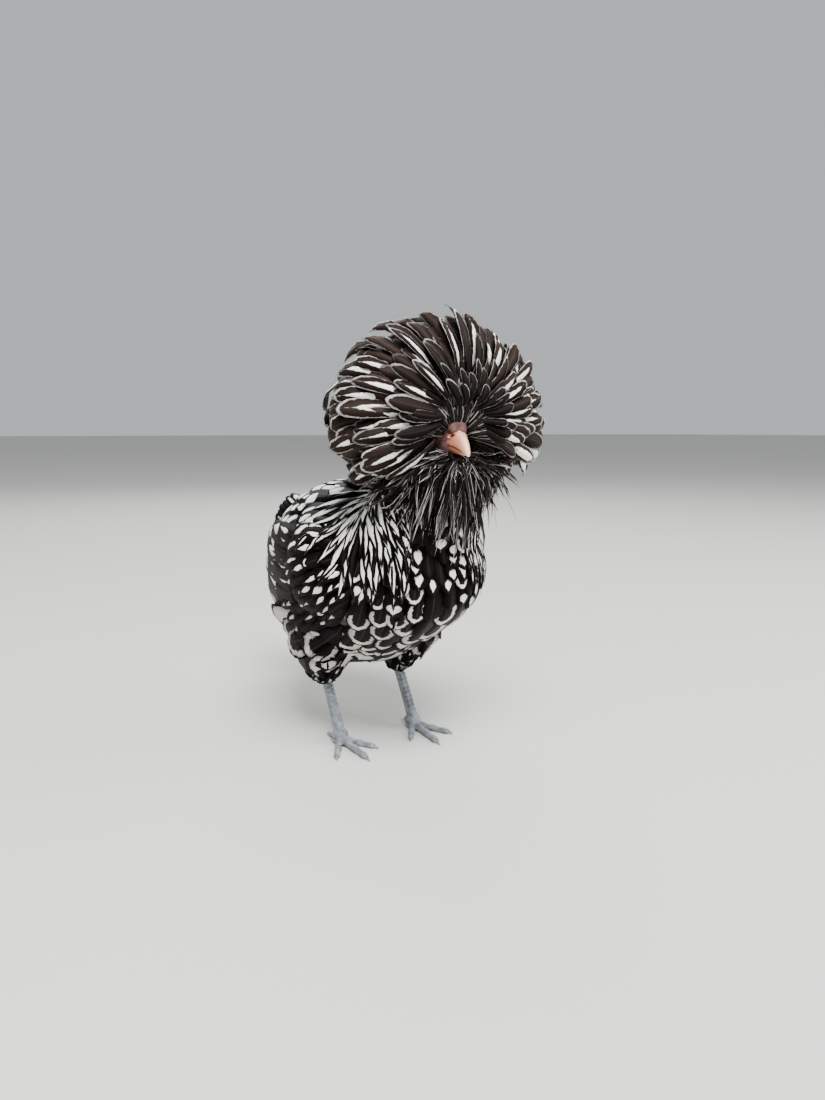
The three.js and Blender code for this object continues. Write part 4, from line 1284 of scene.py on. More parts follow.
@dataclass
class WingCoat:
    """The long feathers of both folded wings: flights and their coverts in tiers."""

    body: CoatSurface
    end: float = 92.0
    sink: float = -4.0
    left_share: float = 0.66
    tiers: tuple[WingTier, ...] = (
        WingTier(6, (-6, 132), (128, 140), (0, -8), (-18, -12), 1.6, 15.0, Marking.DARK),
        WingTier(14, (-8, 187), (116, 183), (-3, -52), (-17, -50), 3.0, 15.0, Marking.DROP),
        WingTier(11, (-16, 187), (64, 190), (-3, -50), (-8, -54), 5.4, 16.0, Marking.HEART),
        WingTier(10, (-26, 185), (32, 190), (-3, -50), (-8, -56), 7.4, 15.0, Marking.SPECK),
    )

    def over_side(self, y: Array, z: Array, height: Array) -> Array:
        """Puts places along the body and up, seen from its left side, at a height above its surface."""
        at, normal = self.body.nearest(np.stack([np.full(len(y), 94.0), y, z], axis=1))
        return at + normal * height[:, None]

    def tier(self, tier: WingTier, lift: float, rng: Draws) -> Array:
        """Centre lines of one tier, which run on straight past the body's end.

        Args:
            tier: The tier.
            lift: Height above the body.
            rng: The random numbers.

        Returns:
            Lines as feathers by stations by 3.
        """
        k = np.linspace(0, 1, tier.count)[:, None]
        start = np.array(tier.root) + k * np.array(tier.root_fall)
        stop = np.array(tier.tip) + k * np.array(tier.tip_fall)
        back = 20
        lines = []
        for share in FLIGHT.along:
            y, z = mix(start, stop, share).T
            z = z - 5.0 * math.sin(math.pi * share)
            inside = np.minimum(y, self.end)
            height = mix(self.sink, lift + 1.1 * (1 - k[:, 0]), float(smooth(np.array(share), -0.05, 0.4)))
            near = self.over_side(inside, z, height)
            before = self.over_side(inside - back, z, height)
            lines.append(near + (near - before) * ((y - inside) / back)[:, None])
        line = np.stack(lines, axis=1)
        return line + rng.normal(0, 0.5, (tier.count, 1, 3)) * FLIGHT.lengthwise()

    def build(self) -> list[Piece]:
        """Makes the long feathers of both wings.

        Returns:
            One piece for each wing.
        """
        made = []
        for name, side in SIDES:
            rng = np.random.default_rng(41)
            plumage = Plumage(FLIGHT)
            flip = np.array([side, 1, 1])
            for tier in self.tiers:
                # The hen holds its left wing closer to the body than its right one.
                line = self.tier(tier, tier.lift * (self.left_share if side > 0 else 1.0), rng)
                _, normal = self.body.nearest(np.minimum(line, [200, self.end, 400]).reshape(-1, 3))
                face = normal.reshape(line.shape) + np.array([0, 0, 0.12])
                count = tier.count
                mark = drawn(rng, np.tile([1.0, 0.5], (count, 1)), (tier.kind, Marking.DARK), 0.3)
                chance, brown, grey = (rng.uniform(*pair, count) for pair in ((0, 1), (0, 0.2), (0.1, 0.35)))
                tone = toned(chance, brown, grey, 0.0)
                root = body_map(line[:, 0] * flip)
                plumage.add(line * flip, unit(face) * flip, np.full(count, tier.width), mark, tone, root)
            made.append(plumage.build("wing_" + name + "_feathers"))
        return made


@dataclass(frozen=True)
class TailTier:
    """One tier of the tail: a middle feather, and pairs beside it that are shorter and turned outwards."""

    pairs: int
    length: float
    shorter: float
    rise: float
    above: float
    width: float
    step: float


@dataclass
class TailCoat:
    """The low tented tail with its tiers of coverts."""

    root: tuple[float, float] = (110, 172)
    radius: float = 42.0
    closer: float = 1.6
    arch: float = 1.6
    tiers: tuple[TailTier, ...] = (
        TailTier(6, 101.0, 4.0, 14.0, 0.0, 19.0, 7.6),
        TailTier(5, 74.0, 4.0, 15.0, 2.4, 18.0, 8.5),
        TailTier(4, 58.0, 4.0, 17.0, 4.6, 17.0, 10.0),
        TailTier(4, 42.0, 3.0, 20.0, 6.8, 16.0, 13.0),
        TailTier(5, 30.0, 1.5, 22.0, 8.0, 15.0, 15.0),
        TailTier(6, 19.0, 1.0, 22.0, 8.4, 14.0, 17.0),
    )

    def build(self) -> list[Piece]:
        """Makes the tail.

        Returns:
            Its one piece.
        """
        rng = np.random.default_rng(61)
        plumage = Plumage(FLIGHT)
        for tier in self.tiers:
            for k in range(-tier.pairs, tier.pairs + 1):
                line, face = self.feather(tier, k, rng)
                mark = drawn(rng, np.array([[0.9, 0.7]]), (Marking.DARK, Marking.DROP), 0.3)
                tone = np.array([[rng.random(), rng.uniform(0, 0.2), rng.uniform(0.1, 0.3), 0.0]])
                plumage.add(line[None], face[None], np.array([tier.width]), mark, tone, body_map(line[:1]))
        return [plumage.build("tail_feathers")]

    def feather(self, tier: TailTier, k: int, rng: Draws) -> tuple[Array, Array]:
        """Bends one feather of the tail.

        Args:
            tier: Its tier.
            k: Its number from the middle, positive to the left.
            rng: The random numbers.

        Returns:
            Its centre line and outward directions.
        """
        t = np.array(FLIGHT.along)[:, None]
        away, side = abs(k), float(np.sign(k))
        turn = math.radians(tier.step * away)
        reach = self.radius - self.closer * away
        across = np.array([side * reach * math.sin(turn), 0, reach * math.cos(turn) - self.radius])
        base = np.array([0, self.root[0], self.root[1] + tier.above])
        up, out = math.radians(tier.rise), side * math.radians(0.8 * away)
        way = np.array([math.sin(out), math.cos(out) * math.cos(up), math.sin(up)])
        start = base + across * 0.6
        stop = base + across + way * (tier.length - tier.shorter * away + rng.uniform(-2, 1))
        line = mix(start, stop, t) + np.array([0, 0, 1.0]) * (4 * t * (1 - t)) * self.arch
        return line, np.tile([side * math.sin(turn), 0, math.cos(turn)], (len(t), 1))


# Materials


# The one setting that each kind of node is given here.
SETTINGS = {
    "Attribute": "attribute_name",
    "MapRange": "interpolation_type",
    "Math": "operation",
    "Mix": "data_type",
    "TexNoise": "noise_dimensions",
    "TexVoronoi": "feature",
    "UVMap": "uv_map",
}
Link = bpy.types.Node | bpy.types.NodeSocket


@dataclass
class Finish:
    """A procedural material under construction."""

    name: str

    def __post_init__(self) -> None:
        """Starts the material from an empty tree."""
        self.material = bpy.data.materials.new(self.name)
        self.material.use_nodes = True
        self.tree = self.material.node_tree
        self.tree.nodes.clear()

    def node(self, kind: str, *inputs: object, **named: object) -> bpy.types.Node:
        """Adds a node with its settings, and links or sets its inputs.

        Args:
            kind: The node's type without the word ShaderNode, and after a space its setting by SETTINGS.
            inputs: A node, an output or a value for each socket that it shows, in their order.
            named: The same by the sockets' names, with _ for a space.

        Returns:
            The node.
        """
        kind, _, setting = kind.partition(" ")
        made = self.tree.nodes.new("ShaderNode" + kind)
        if setting:
            setattr(made, SETTINGS[kind], setting)
        shown = (socket for socket in made.inputs if socket.enabled)
        by_name = ((made.inputs[key.replace("_", " ")], value) for key, value in named.items())
        for socket, value in (*zip(shown, inputs), *by_name):
            if isinstance(value, bpy.types.Node):
                value = next(output for output in value.outputs if output.enabled)
            if isinstance(value, bpy.types.NodeSocket):
                self.tree.links.new(value, socket)
            else:
                socket.default_value = value
        return made

    def shown(self, shader: bpy.types.Node) -> bpy.types.Material:
        """Ends the tree with its surface shader and hands the material over."""
        self.node("OutputMaterial", Surface=shader)
        return self.material


@dataclass(frozen=True)
class FeatherFinish:
    """Feather keratin: a matte vane of fine barbs, black or white by its pigment."""

    black: str = "#040304"
    brown: str = "#2c211d"
    white: str = "#fbf9f4"
    grey: str = "#a9a59c"
    lacing: str = "#d9d4ce"
    shaft: str = "#6b645c"
    roughness: float = 0.5
    barbs: float = 34.0
    slant: float = 3.2

    @staticmethod
    def marked(f: Finish, length: Link, across: Link, shake: Link) -> tuple[Link, Link]:
        """Draws the white marking within its dark rim.

        Args:
            f: The material.
            length: Share of the feather's length.
            across: Distance from the shaft, as a share of the half width.
            shake: How far the barbs are frayed there.

        Returns:
            How white a place is, and how far it lies from the feather's middle to its outline, which is 1.
        """
        mark = f.node("Attribute marking").outputs
        wide, start, rim = f.node("SeparateColor", mark["Color"]).outputs
        oval, end = mark["Alpha"], f.node("Math SUBTRACT", 1.0, rim)
        # A crescent curves about a place nearer to the tip than the feather's own outline does.
        centre = f.node("MapRange SMOOTHSTEP", oval, 0.1, 0.2, 0.5, 0.68)
        tip = f.node("MapRange", length, centre, 1.0)
        cubes = f.node("Math ADD", f.node("Math POWER", across, 3.0), f.node("Math POWER", tip, 3.0))
        edge = f.node("Math ADD", f.node("Math POWER", cubes, 0.3333), shake)
        inside_rim = f.node("MapRange SMOOTHSTEP", f.node("Math SUBTRACT", end, edge), -0.02, 0.06)
        # A spindle widens from where it starts in a quarter circle and narrows again to the rim.
        gone = f.node("MapRange", length, start, end)
        short = f.node("MapRange", gone, 0.0, 0.4, 1.0, 0.0)
        grow = f.node("Math POWER", f.node("Math SUBTRACT", 1.0, f.node("Math POWER", short, 2.0)), 0.5)
        past = f.node("MapRange", gone, 0.4, 0.94)
        fall = f.node("Math SUBTRACT", 1.0, f.node("Math POWER", past, 1.7))
        fall = f.node("Math MAXIMUM", fall, f.node("MapRange SMOOTHSTEP", oval, -0.2, -0.1))
        narrow = f.node("Math MULTIPLY", wide, f.node("Math MULTIPLY", grow, fall))
        spare = f.node("Math SUBTRACT", f.node("Math SUBTRACT", narrow, across), shake)
        within = f.node("MapRange SMOOTHSTEP", spare, -0.03, 0.09)
        within = f.node("Math MULTIPLY", within, f.node("MapRange SMOOTHSTEP", wide, 0.02, 0.1))
        from_start = f.node("Math SUBTRACT", f.node("Math ADD", length, shake), start)
        begun = f.node("MapRange SMOOTHSTEP", from_start, -0.03, 0.09)
        past_oval = f.node("MapRange SMOOTHSTEP", f.node("Math SUBTRACT", edge, oval), -0.02, 0.07)
        filled = f.node("Math MAXIMUM", past_oval, f.node("MapRange SMOOTHSTEP", oval, 0.02, 0.01))
        white = f.node("Math MULTIPLY", inside_rim, within)
        return f.node("Math MULTIPLY", white, f.node("Math MULTIPLY", begun, filled)), edge

    def material(self, name: str) -> bpy.types.Material:
        """Makes the material, which reads each feather's vane map and marking values.

        Args:
            name: The finish's name.

        Returns:
            The material.
        """
        f = Finish(name)
        breadth, length, _ = f.node("SeparateXYZ", f.node("UVMap vane")).outputs
        tone = f.node("Attribute tone").outputs
        chance, brown, grey = f.node("SeparateColor", tone["Color"]).outputs
        across = f.node("Math ABSOLUTE", f.node("Math MULTIPLY_ADD", breadth, 2.0, -1.0))
        where = f.node("TexCoord").outputs["Object"]
        # Barbs part here and there, which frays the edge of each colour: a noise of about 3 mm.
        fray = f.node("TexNoise 4D", Vector=where, W=chance, Scale=330.0, Detail=2.0)
        shake = f.node("Math MULTIPLY_ADD", fray, 0.34, -0.17)
        white, edge = self.marked(f, length, across, shake)
        # Fine slanting barbs, drawn about 1.2 mm apart where real ones are 0.3 mm, so that they show.
        run = f.node("Math MULTIPLY", length, 2 * math.pi * self.barbs)
        slant = f.node("Math MULTIPLY_ADD", across, -2 * math.pi * self.slant, run)
        comb = f.node("Math SINE", slant)
        shaft = f.node("MapRange SMOOTHSTEP", across, 0.1, 0.03)
        dark = f.node("Mix RGBA", brown, srgb(self.black), srgb(self.brown))
        # A painted sheen lifts the dark vane towards brown along each barb's ridge.
        barb_ridge_sheen = f.node("Mix RGBA", 0.2, dark, srgb(self.brown))
        dark = f.node("Mix RGBA", f.node("MapRange SMOOTHSTEP", comb, -1.0, 1.6), dark, barb_ridge_sheen)
        pale = f.node("Mix RGBA", grey, srgb(self.white), srgb(self.grey))
        # Painted shade greys the white vane in the grooves between the barbs.
        gap = f.node("MapRange SMOOTHSTEP", comb, 0.9, -1.4, 0.0, 0.22)
        pale = f.node("Mix RGBA", gap, pale, srgb(self.grey))
        colour = f.node("Mix RGBA", white, dark, pale)
        # Pale lacing follows the outline, and is broad in the hairy feathers of beard and ruff.
        _, _, rim = f.node("SeparateColor", f.node("Attribute marking").outputs["Color"]).outputs
        border = f.node("MapRange SMOOTHSTEP", rim, 0.6, 0.7, 0.945, 0.745)
        laced = f.node("MapRange SMOOTHSTEP", f.node("Math SUBTRACT", edge, border), -0.025, 0.025)
        laced = f.node("Math MULTIPLY", laced, tone["Alpha"])
        colour = f.node("Mix RGBA", laced, colour, srgb(self.lacing))
        faint = f.node("Math MULTIPLY", shaft, 0.08)
        colour = f.node("Mix RGBA", faint, colour, srgb(self.shaft))
        ridge = f.node("Math MULTIPLY", shaft, 1.5)
        height = f.node("Math MULTIPLY_ADD", comb, 0.5, ridge)
        rough = f.node("Math MULTIPLY_ADD", comb, 0.05, self.roughness)
        shader = f.node(
            "BsdfPrincipled",
            Base_Color=colour,
            Roughness=f.node("Math MULTIPLY_ADD", white, 0.15, rough),
            Normal=f.node("Bump", Strength=0.35, Distance=0.0003, Height=height),
            Specular_IOR_Level=0.05,
        )
        return f.shown(shader)


@dataclass(frozen=True)
class SkinFinish:
    """Living skin: thin, brownish red and finely wrinkled on the face, with painted shade in the creases,
    downy and dark beneath the coat.
    """

    face: str = "#56332f"
    blush: str = "#522826"
    shade: str = "#3c221f"
    down: str = "#0c0b0b"
    spot: str = "#6f6c67"

    def material(self) -> bpy.types.Material:
        """Makes the material, which reads where the skin is bare from the attribute bare."""
        f = Finish("facial_skin_and_down")
        where = f.node("TexCoord").outputs["Object"]
        bare = f.node("Attribute bare").outputs["Fac"]
        # Blood shows through in patches of about 5 mm, and wrinkles lie under 1 mm apart.
        patch = f.node("TexNoise", Vector=where, Scale=190.0, Detail=4.0)
        wrinkle = f.node("TexVoronoi DISTANCE_TO_EDGE", Vector=where, Scale=1100.0)
        flushed = f.node("MapRange SMOOTHSTEP", patch, 0.35, 0.7)
        flesh = f.node("Mix RGBA", flushed, srgb(self.face), srgb(self.blush))
        # Painted shade darkens the flesh in the creases of the wrinkles.
        painted_crease_shade = f.node("MapRange SMOOTHSTEP", wrinkle, 0.25, 0.0, 0.0, 0.5)
        flesh = f.node("Mix RGBA", painted_crease_shade, flesh, srgb(self.shade))
        spots = f.node("MapRange SMOOTHSTEP", f.node("TexVoronoi", Vector=where, Scale=62.0), 0.28, 0.2)
        downy = f.node("Mix RGBA", spots, srgb(self.down), srgb(self.spot))
        relief = f.node("MapRange SMOOTHSTEP", wrinkle, 0.0, 0.3)
        shader = f.node(
            "BsdfPrincipled",
            Base_Color=f.node("Mix RGBA", bare, downy, flesh),
            Roughness=f.node("Math MULTIPLY_ADD", patch, 0.2, 0.42),
            Normal=f.node("Bump", Strength=0.5, Distance=0.0004, Height=relief),
        )
        return f.shown(shader)


@dataclass(frozen=True)
class HornFinish:
    """Horn of the bill: smooth, pale and slightly glossy, flushed at the base with faint growth lines, with
    painted shade in the nostrils.
    """

    pale: str = "#f3ccb0"
    flush: str = "#bd7a60"
    dark: str = "#a06f58"
    # Painted shade in the nostrils' openings.
    hollow: str = "#2a1612"

    def material(self) -> bpy.types.Material:
        """Makes the material, which runs along the bill by the attribute ahead, and paints the nostrils'
        openings dark as painted shade.
        """
        f = Finish("bill_horn")
        where = f.node("TexCoord").outputs["Object"]
        ahead, hollow = (f.node("Attribute " + key).outputs["Fac"] for key in ("ahead", "hollow"))
        cloud = f.node("TexNoise", Vector=where, Scale=260.0, Detail=3.0)
        run = f.node("Math MULTIPLY", ahead, 26.0)
        line = f.node("TexNoise 1D", W=run, Detail=2.0)
        tip = f.node("MapRange SMOOTHSTEP", ahead, 0.3, 1.0)
        colour = f.node("Mix RGBA", tip, srgb(self.flush), srgb(self.pale))
        for share in (
            f.node("MapRange SMOOTHSTEP", cloud, 0.5, 0.75, 0.0, 0.45),
            f.node("MapRange SMOOTHSTEP", line, 0.55, 0.8, 0.0, 0.25),
        ):
            colour = f.node("Mix RGBA", share, colour, srgb(self.dark))
        shader = f.node(
            "BsdfPrincipled",
            Base_Color=f.node("Mix RGBA", hollow, colour, srgb(self.hollow)),
            Roughness=f.node("Math MULTIPLY_ADD", cloud, 0.2, 0.28),
            Normal=f.node("Bump", Strength=0.25, Distance=0.0003, Height=line),
        )
        return f.shown(shader)


@dataclass(frozen=True)
class ScaleFinish:
    """Horny scales of shank and toes: slate keratin, paler where plates are proud, and darker in the seams
    between scales.
    """

    slate: str = "#6d737a"
    light: str = "#9aa0a6"
    seam: str = "#34363a"

    def material(self) -> bpy.types.Material:
        """Makes the material."""
        f = Finish("slate_leg_scales")
        where = f.node("TexCoord").outputs["Object"]
        # The small scales of sides and soles are about 1.7 mm across.
        cells = f.node("TexVoronoi DISTANCE_TO_EDGE", Vector=where, Scale=600.0)
        cloud = f.node("TexNoise", Vector=where, Scale=140.0, Detail=4.0)
        pale = f.node("MapRange SMOOTHSTEP", cloud, 0.35, 0.7)
        edges = f.node("NewGeometry").outputs["Pointiness"]
        proud = f.node("MapRange SMOOTHSTEP", edges, 0.5, 0.56, 0.0, 0.35)
        colour = f.node("Mix RGBA", pale, srgb(self.slate), srgb(self.light))
        colour = f.node("Mix RGBA", proud, colour, srgb(self.light))
        seams = f.node("MapRange SMOOTHSTEP", cells, 0.1, 0.0, 0.0, 0.6)
        relief = f.node("MapRange SMOOTHSTEP", cells, 0.0, 0.2)
        shader = f.node(
            "BsdfPrincipled",
            Base_Color=f.node("Mix RGBA", seams, colour, srgb(self.seam)),
            Roughness=f.node("Math MULTIPLY_ADD", cloud, 0.25, 0.34),
            Normal=f.node("Bump", Strength=0.5, Distance=0.0004, Height=relief),
        )
        return f.shown(shader)


@dataclass(frozen=True)
class EyeFinish:
    """A bird's eye: round black pupil in a red-brown iris of fine flecks, under a wet cornea."""

    iris: str = "#8a3c1a"
    rim: str = "#3a150a"
    pupil: str = "#050404"

    def material(self) -> bpy.types.Material:
        """Makes the material, which reads the angle from the pupil's middle as the attribute gaze."""
        f = Finish("wet_eye")
        where = f.node("TexCoord").outputs["Object"]
        gaze = f.node("Attribute gaze").outputs["Fac"]
        cloud = f.node("TexNoise", Vector=where, Scale=1800.0, Detail=3.0)
        flecks = f.node("MapRange SMOOTHSTEP", cloud, 0.35, 0.7)
        colour = f.node("Mix RGBA", flecks, srgb(self.iris), srgb(self.rim))
        for low, high, code in ((0.86, 0.98, self.rim), (0.42, 0.36, self.pupil)):
            share = f.node("MapRange SMOOTHSTEP", gaze, low, high)
            colour = f.node("Mix RGBA", share, colour, srgb(code))
        wet = {"Roughness": 0.12, "Coat_Weight": 1.0, "Coat_Roughness": 0.03}
        return f.shown(f.node("BsdfPrincipled", Base_Color=colour, **wet))


@dataclass(frozen=True)
class ClawFinish:
    """Claw horn: pale grey-brown with darker clouds, slightly worn."""

    pale: str = "#a39a8f"
    dark: str = "#4f4a47"

    def material(self) -> bpy.types.Material:
        """Makes the material."""
        f = Finish("claw_horn")
        cloud = f.node("TexNoise", Vector=f.node("TexCoord").outputs["Object"], Scale=420.0, Detail=4.0)
        share = f.node("MapRange SMOOTHSTEP", cloud, 0.35, 0.68)
        shader = f.node(
            "BsdfPrincipled",
            Base_Color=f.node("Mix RGBA", share, srgb(self.dark), srgb(self.pale)),
            Roughness=f.node("Math MULTIPLY_ADD", cloud, 0.25, 0.25),
            Normal=f.node("Bump", Strength=0.3, Distance=0.0002, Height=cloud),
        )
        return f.shown(shader)


def worn(obj: Piece, material: bpy.types.Material, slot: str, *nodes: str) -> None:
    """Dresses a piece, hangs it under the root, hides the solids that it replaces and reports it.

    Args:
        obj: The piece.
        material: Its material.
        slot: The record's slot, named in the report.
        nodes: Solids that it replaces.
    """
    obj.data.materials.clear()
    obj.data.materials.append(material)
    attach(obj, "root")
    if nodes:
        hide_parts(*nodes)
    log.info("%s: %d faces, slot %s", obj.name, len(obj.data.polygons), slot)


# Skin, head and legs


@dataclass
class Flesh:
    """Everything that the coat grows from, as one skin: the coat's own surface sunk by depth, and the head.

    Places on the head are to its left, ahead of the mouth's corners and up, with half sizes after them.
    """

    depth: float = 4.5
    skull: tuple[tuple[float, ...], ...] = ((0, -20, 3, 15.5, 23, 17), (0, -9, -2, 12.5, 13, 11))
    comb: tuple[tuple[float, ...], ...] = (
        (3.9, -2.2, 12.6, 4.4, 5.0, 5.4),
        (2.4, -2.4, 14.6, 4.0, 4.4, 4.6),
        (3.4, 1.4, 10.6, 3.6, 3.2, 3.4),
    )
    eye: tuple[float, float] = (10.5, 5.5)
    bare_middle: float = 4.0
    bare_reach: tuple[float, float] = (24, 30)

    @staticmethod
    def forms() -> Shape:
        """Gathers body, neck, thighs, wing bows and tail root at the size of the coat."""
        bm = bmesh.new()
        BodyForm().add_to(bm)
        NECK.add_to(bm)
        for _, side in SIDES:
            thigh(side).add_to(bm)
            # The wing bow, which sits further out on the hen's right.
            ellipsoid(bm, (side * 61 - 7, -19, 153), (24, 38, 38))
        # The tail's root.
        ellipsoid(bm, (0, 122, 160), (27, 28, 21))
        return bm

    def head_forms(self) -> Shape:
        """Gathers skull, cheeks and the two lobes of the small comb."""
        bm = bmesh.new()
        lobes = [(side * left, *rest) for _, side in SIDES for left, *rest in self.comb]
        for left, ahead, up, *half in (*self.skull, *lobes):
            ellipsoid(bm, HEAD.place(left, ahead, up), half, HEAD.turn())
        return bm

    def build(self) -> tuple[Piece, CoatSurface]:
        """Makes the skin and the surface that the coat is laid over.

        Returns:
            The skin and the coat's surface.
        """
        coat = fused(self.forms(), 3.0, 14)
        surface = CoatSurface(coat)
        coat.normal_update()
        for vert in coat.verts:
            vert.co -= vert.normal * self.depth
        for globe in (CREST, BEARD, *MUFFS):
            for vert in add_ball(coat, 28, 18):
                vert.co = Vector(globe.surface(unit(np.array(vert.co)), core=True))
        skin = fused(coat, 3.0, 2)
        head = fused(self.head_forms(), 0.7, 3)
        for vert in head.verts:
            self.crease(vert)
        spare = bpy.data.meshes.new("spare")
        head.to_mesh(spare)
        skin.from_mesh(spare)
        bpy.data.meshes.remove(spare)
        head.free()
        bare = [self.bareness(v.co) for v in skin.verts]
        obj = object_from(skin, "skin")
        mark_points(obj, "bare", bare)
        return obj, surface

    def crease(self, vert: bmesh.types.BMVert) -> None:
        """Sinks the eye's socket and lifts the lid round it."""
        q = HEAD.within(vert.co)
        back, up = self.eye
        away = math.hypot(q.y - back, q.z - up)
        if abs(q.x) > 6:
            lift = 1.1 * math.exp(-(((away - 5.2) / 1.1) ** 2)) - 1.6 * math.exp(-((away / 3.6) ** 2))
            vert.co += vert.normal * lift

    def bareness(self, co: Vector) -> float:
        """How bare the skin is: 1 on the face, 0 under the coat."""
        q = HEAD.within(co)
        return float(fade(np.array(math.hypot(q.x * 0.8, q.y, q.z - self.bare_middle)), *self.bare_reach))


@dataclass
class Bill:
    """Upper and lower bill, each lofted through arched sections ahead of the mouth's corners.

    A section is its distance ahead, half width, height at the bill's ridge or keel, and height at the gape.
    """

    upper: tuple[tuple[float, float, float, float], ...] = (
        (-4, 8.0, 11.6, 0.6),
        (0, 7.8, 11.9, 0.7),
        (3.6, 7.2, 11.4, 0.8),
        (8, 6.2, 10.0, 0.6),
        (11.6, 5.3, 8.2, 0.2),
        (15.0, 4.2, 5.8, -0.6),
        (17.8, 3.2, 3.1, -1.7),
        (19.9, 2.3, 0.6, -2.8),
        (21.3, 1.4, -1.8, -3.9),
        (22.1, 0.6, -3.8, -4.6),
    )
    lower: tuple[tuple[float, float, float, float], ...] = (
        (-4, 7.5, -5.2, -0.5),
        (2, 6.8, -6.0, -0.6),
        (7, 5.7, -5.9, -0.8),
        (11.5, 4.4, -5.4, -1.3),
        (14.8, 3.1, -5.0, -2.1),
        (17.0, 1.7, -4.4, -3.0),
    )
    around: int = 22
    length: float = 24.0
    half: float = 7.8
    nostril: tuple[float, float] = (3.4, 7.4)
    nostril_out: float = 2.0
    nostril_size: float = 1.5

    def loft(self, rows: Sequence[tuple[float, float, float, float]]) -> Shape:
        """Bridges the sections and closes both ends.

        Args:
            rows: The sections.

        Returns:
            The closed shape.
        """
        bm = bmesh.new()
        rings = []
        for ahead, wide, crown, gape in rows:
            made = bmesh.ops.create_circle(bm, segments=self.around, radius=1.0)["verts"]
            for vert in made:
                angle = math.atan2(vert.co.y, vert.co.x)
                arch = max(0.0, math.sin(angle)) ** 0.9
                below = min(0.0, math.sin(angle)) * 0.12 * (crown - gape)
                vert.co = HEAD.place(wide * math.cos(angle), ahead, mix(gape, crown, arch) + below)
            rings.append(made)
        for a, b in zip(rings, rings[1:]):
            both = (*a, *b)
            loops = {edge for vert in both for edge in vert.link_edges if edge.other_vert(vert) in both}
            ends = [e for e in loops if (e.verts[0] in a) == (e.verts[1] in a)]
            bmesh.ops.bridge_loops(bm, edges=ends)
        bmesh.ops.holes_fill(bm, edges=[e for e in bm.edges if e.is_boundary], sides=0)
        bmesh.ops.recalc_face_normals(bm, faces=bm.faces)
        return bm

    def build(self) -> list[Piece]:
        """Makes both halves of the bill.

        Returns:
            Upper and lower piece.
        """
        made = []
        for name, rows in (("bill_upper_horn", self.upper), ("bill_lower_horn", self.lower)):
            bm = fused(self.loft(rows), 0.42, 3)
            ahead, hollow = [], []
            for vert in bm.verts:
                q = HEAD.within(vert.co)
                nostril = rows is self.upper and abs(q.x) >= self.nostril_out
                if nostril:
                    self.open_nostril(vert, q)
                along = float(np.clip((-q.y + 2) / self.length, 0, 1))
                ridge = 1 - min(1.0, abs(q.x) / max(0.5, self.half * (1 - 0.8 * along)))
                ahead.append(0.6 * along + 0.4 * ridge)
                # The nostril's opening is marked to be painted dark, as painted shade.
                hollow.append(float(nostril and self.from_nostril(q) < self.nostril_size))
            obj = object_from(bm, name)
            mark_points(obj, "ahead", ahead)
            mark_points(obj, "hollow", hollow)
            made.append(obj)
        return made

    def from_nostril(self, q: Vector) -> float:
        """Distance of a place of the head from the middle of the slit nostril, across its slant."""
        ahead, up = self.nostril
        forward, rise = -q.y - ahead, q.z - up
        return math.hypot((forward + 0.4 * rise) / 1.7, (rise - 0.4 * forward) / 0.75)

    def open_nostril(self, vert: bmesh.types.BMVert, q: Vector) -> None:
        """Raises the rim of the flaring nostril and sinks its opening."""
        away = self.from_nostril(q)
        rim = 0.8 * math.exp(-(((away - 2.3) / 0.8) ** 2))
        hole = 2.2 * math.exp(-((away / 1.3) ** 2))
        vert.co += vert.normal * (rim - hole)


@dataclass
class Eyes:
    """Both eyes, seated in the skull."""

    back: float = 10.5
    up: float = 5.5
    out: float = 10.2
    radius: float = 5.0
    bulge: float = 0.35

    def build(self) -> list[Piece]:
        """Makes the eyes.

        Returns:
            One piece for each.
        """
        made = []
        for name, side in SIDES:
            bm = bmesh.new()
            centre = HEAD.place(side * self.out, -self.back, self.up)
            seat = Matrix.Translation(centre)
            verts = bmesh.ops.create_icosphere(bm, subdivisions=4, radius=self.radius, matrix=seat)["verts"]
            look = HEAD.turn() @ Vector((side, -0.12, 0.0)).normalized()
            gaze = []
            for vert in verts:
                way = (vert.co - centre).normalized()
                gaze.append(math.acos(max(-1.0, min(1.0, way.dot(look)))))
                vert.co += way * (self.bulge * math.exp(-((gaze[-1] / 0.5) ** 2)))
            obj = object_from(bm, "eye_" + name + "_ball")
            mark_points(obj, "gaze", gaze)
            made.append(obj)
        return made


@dataclass(frozen=True)
class Toe:
    """A toe's heading from straight ahead, its length and radius, and the length of its claw."""

    heading: float
    length: float
    radius: float
    claw: float


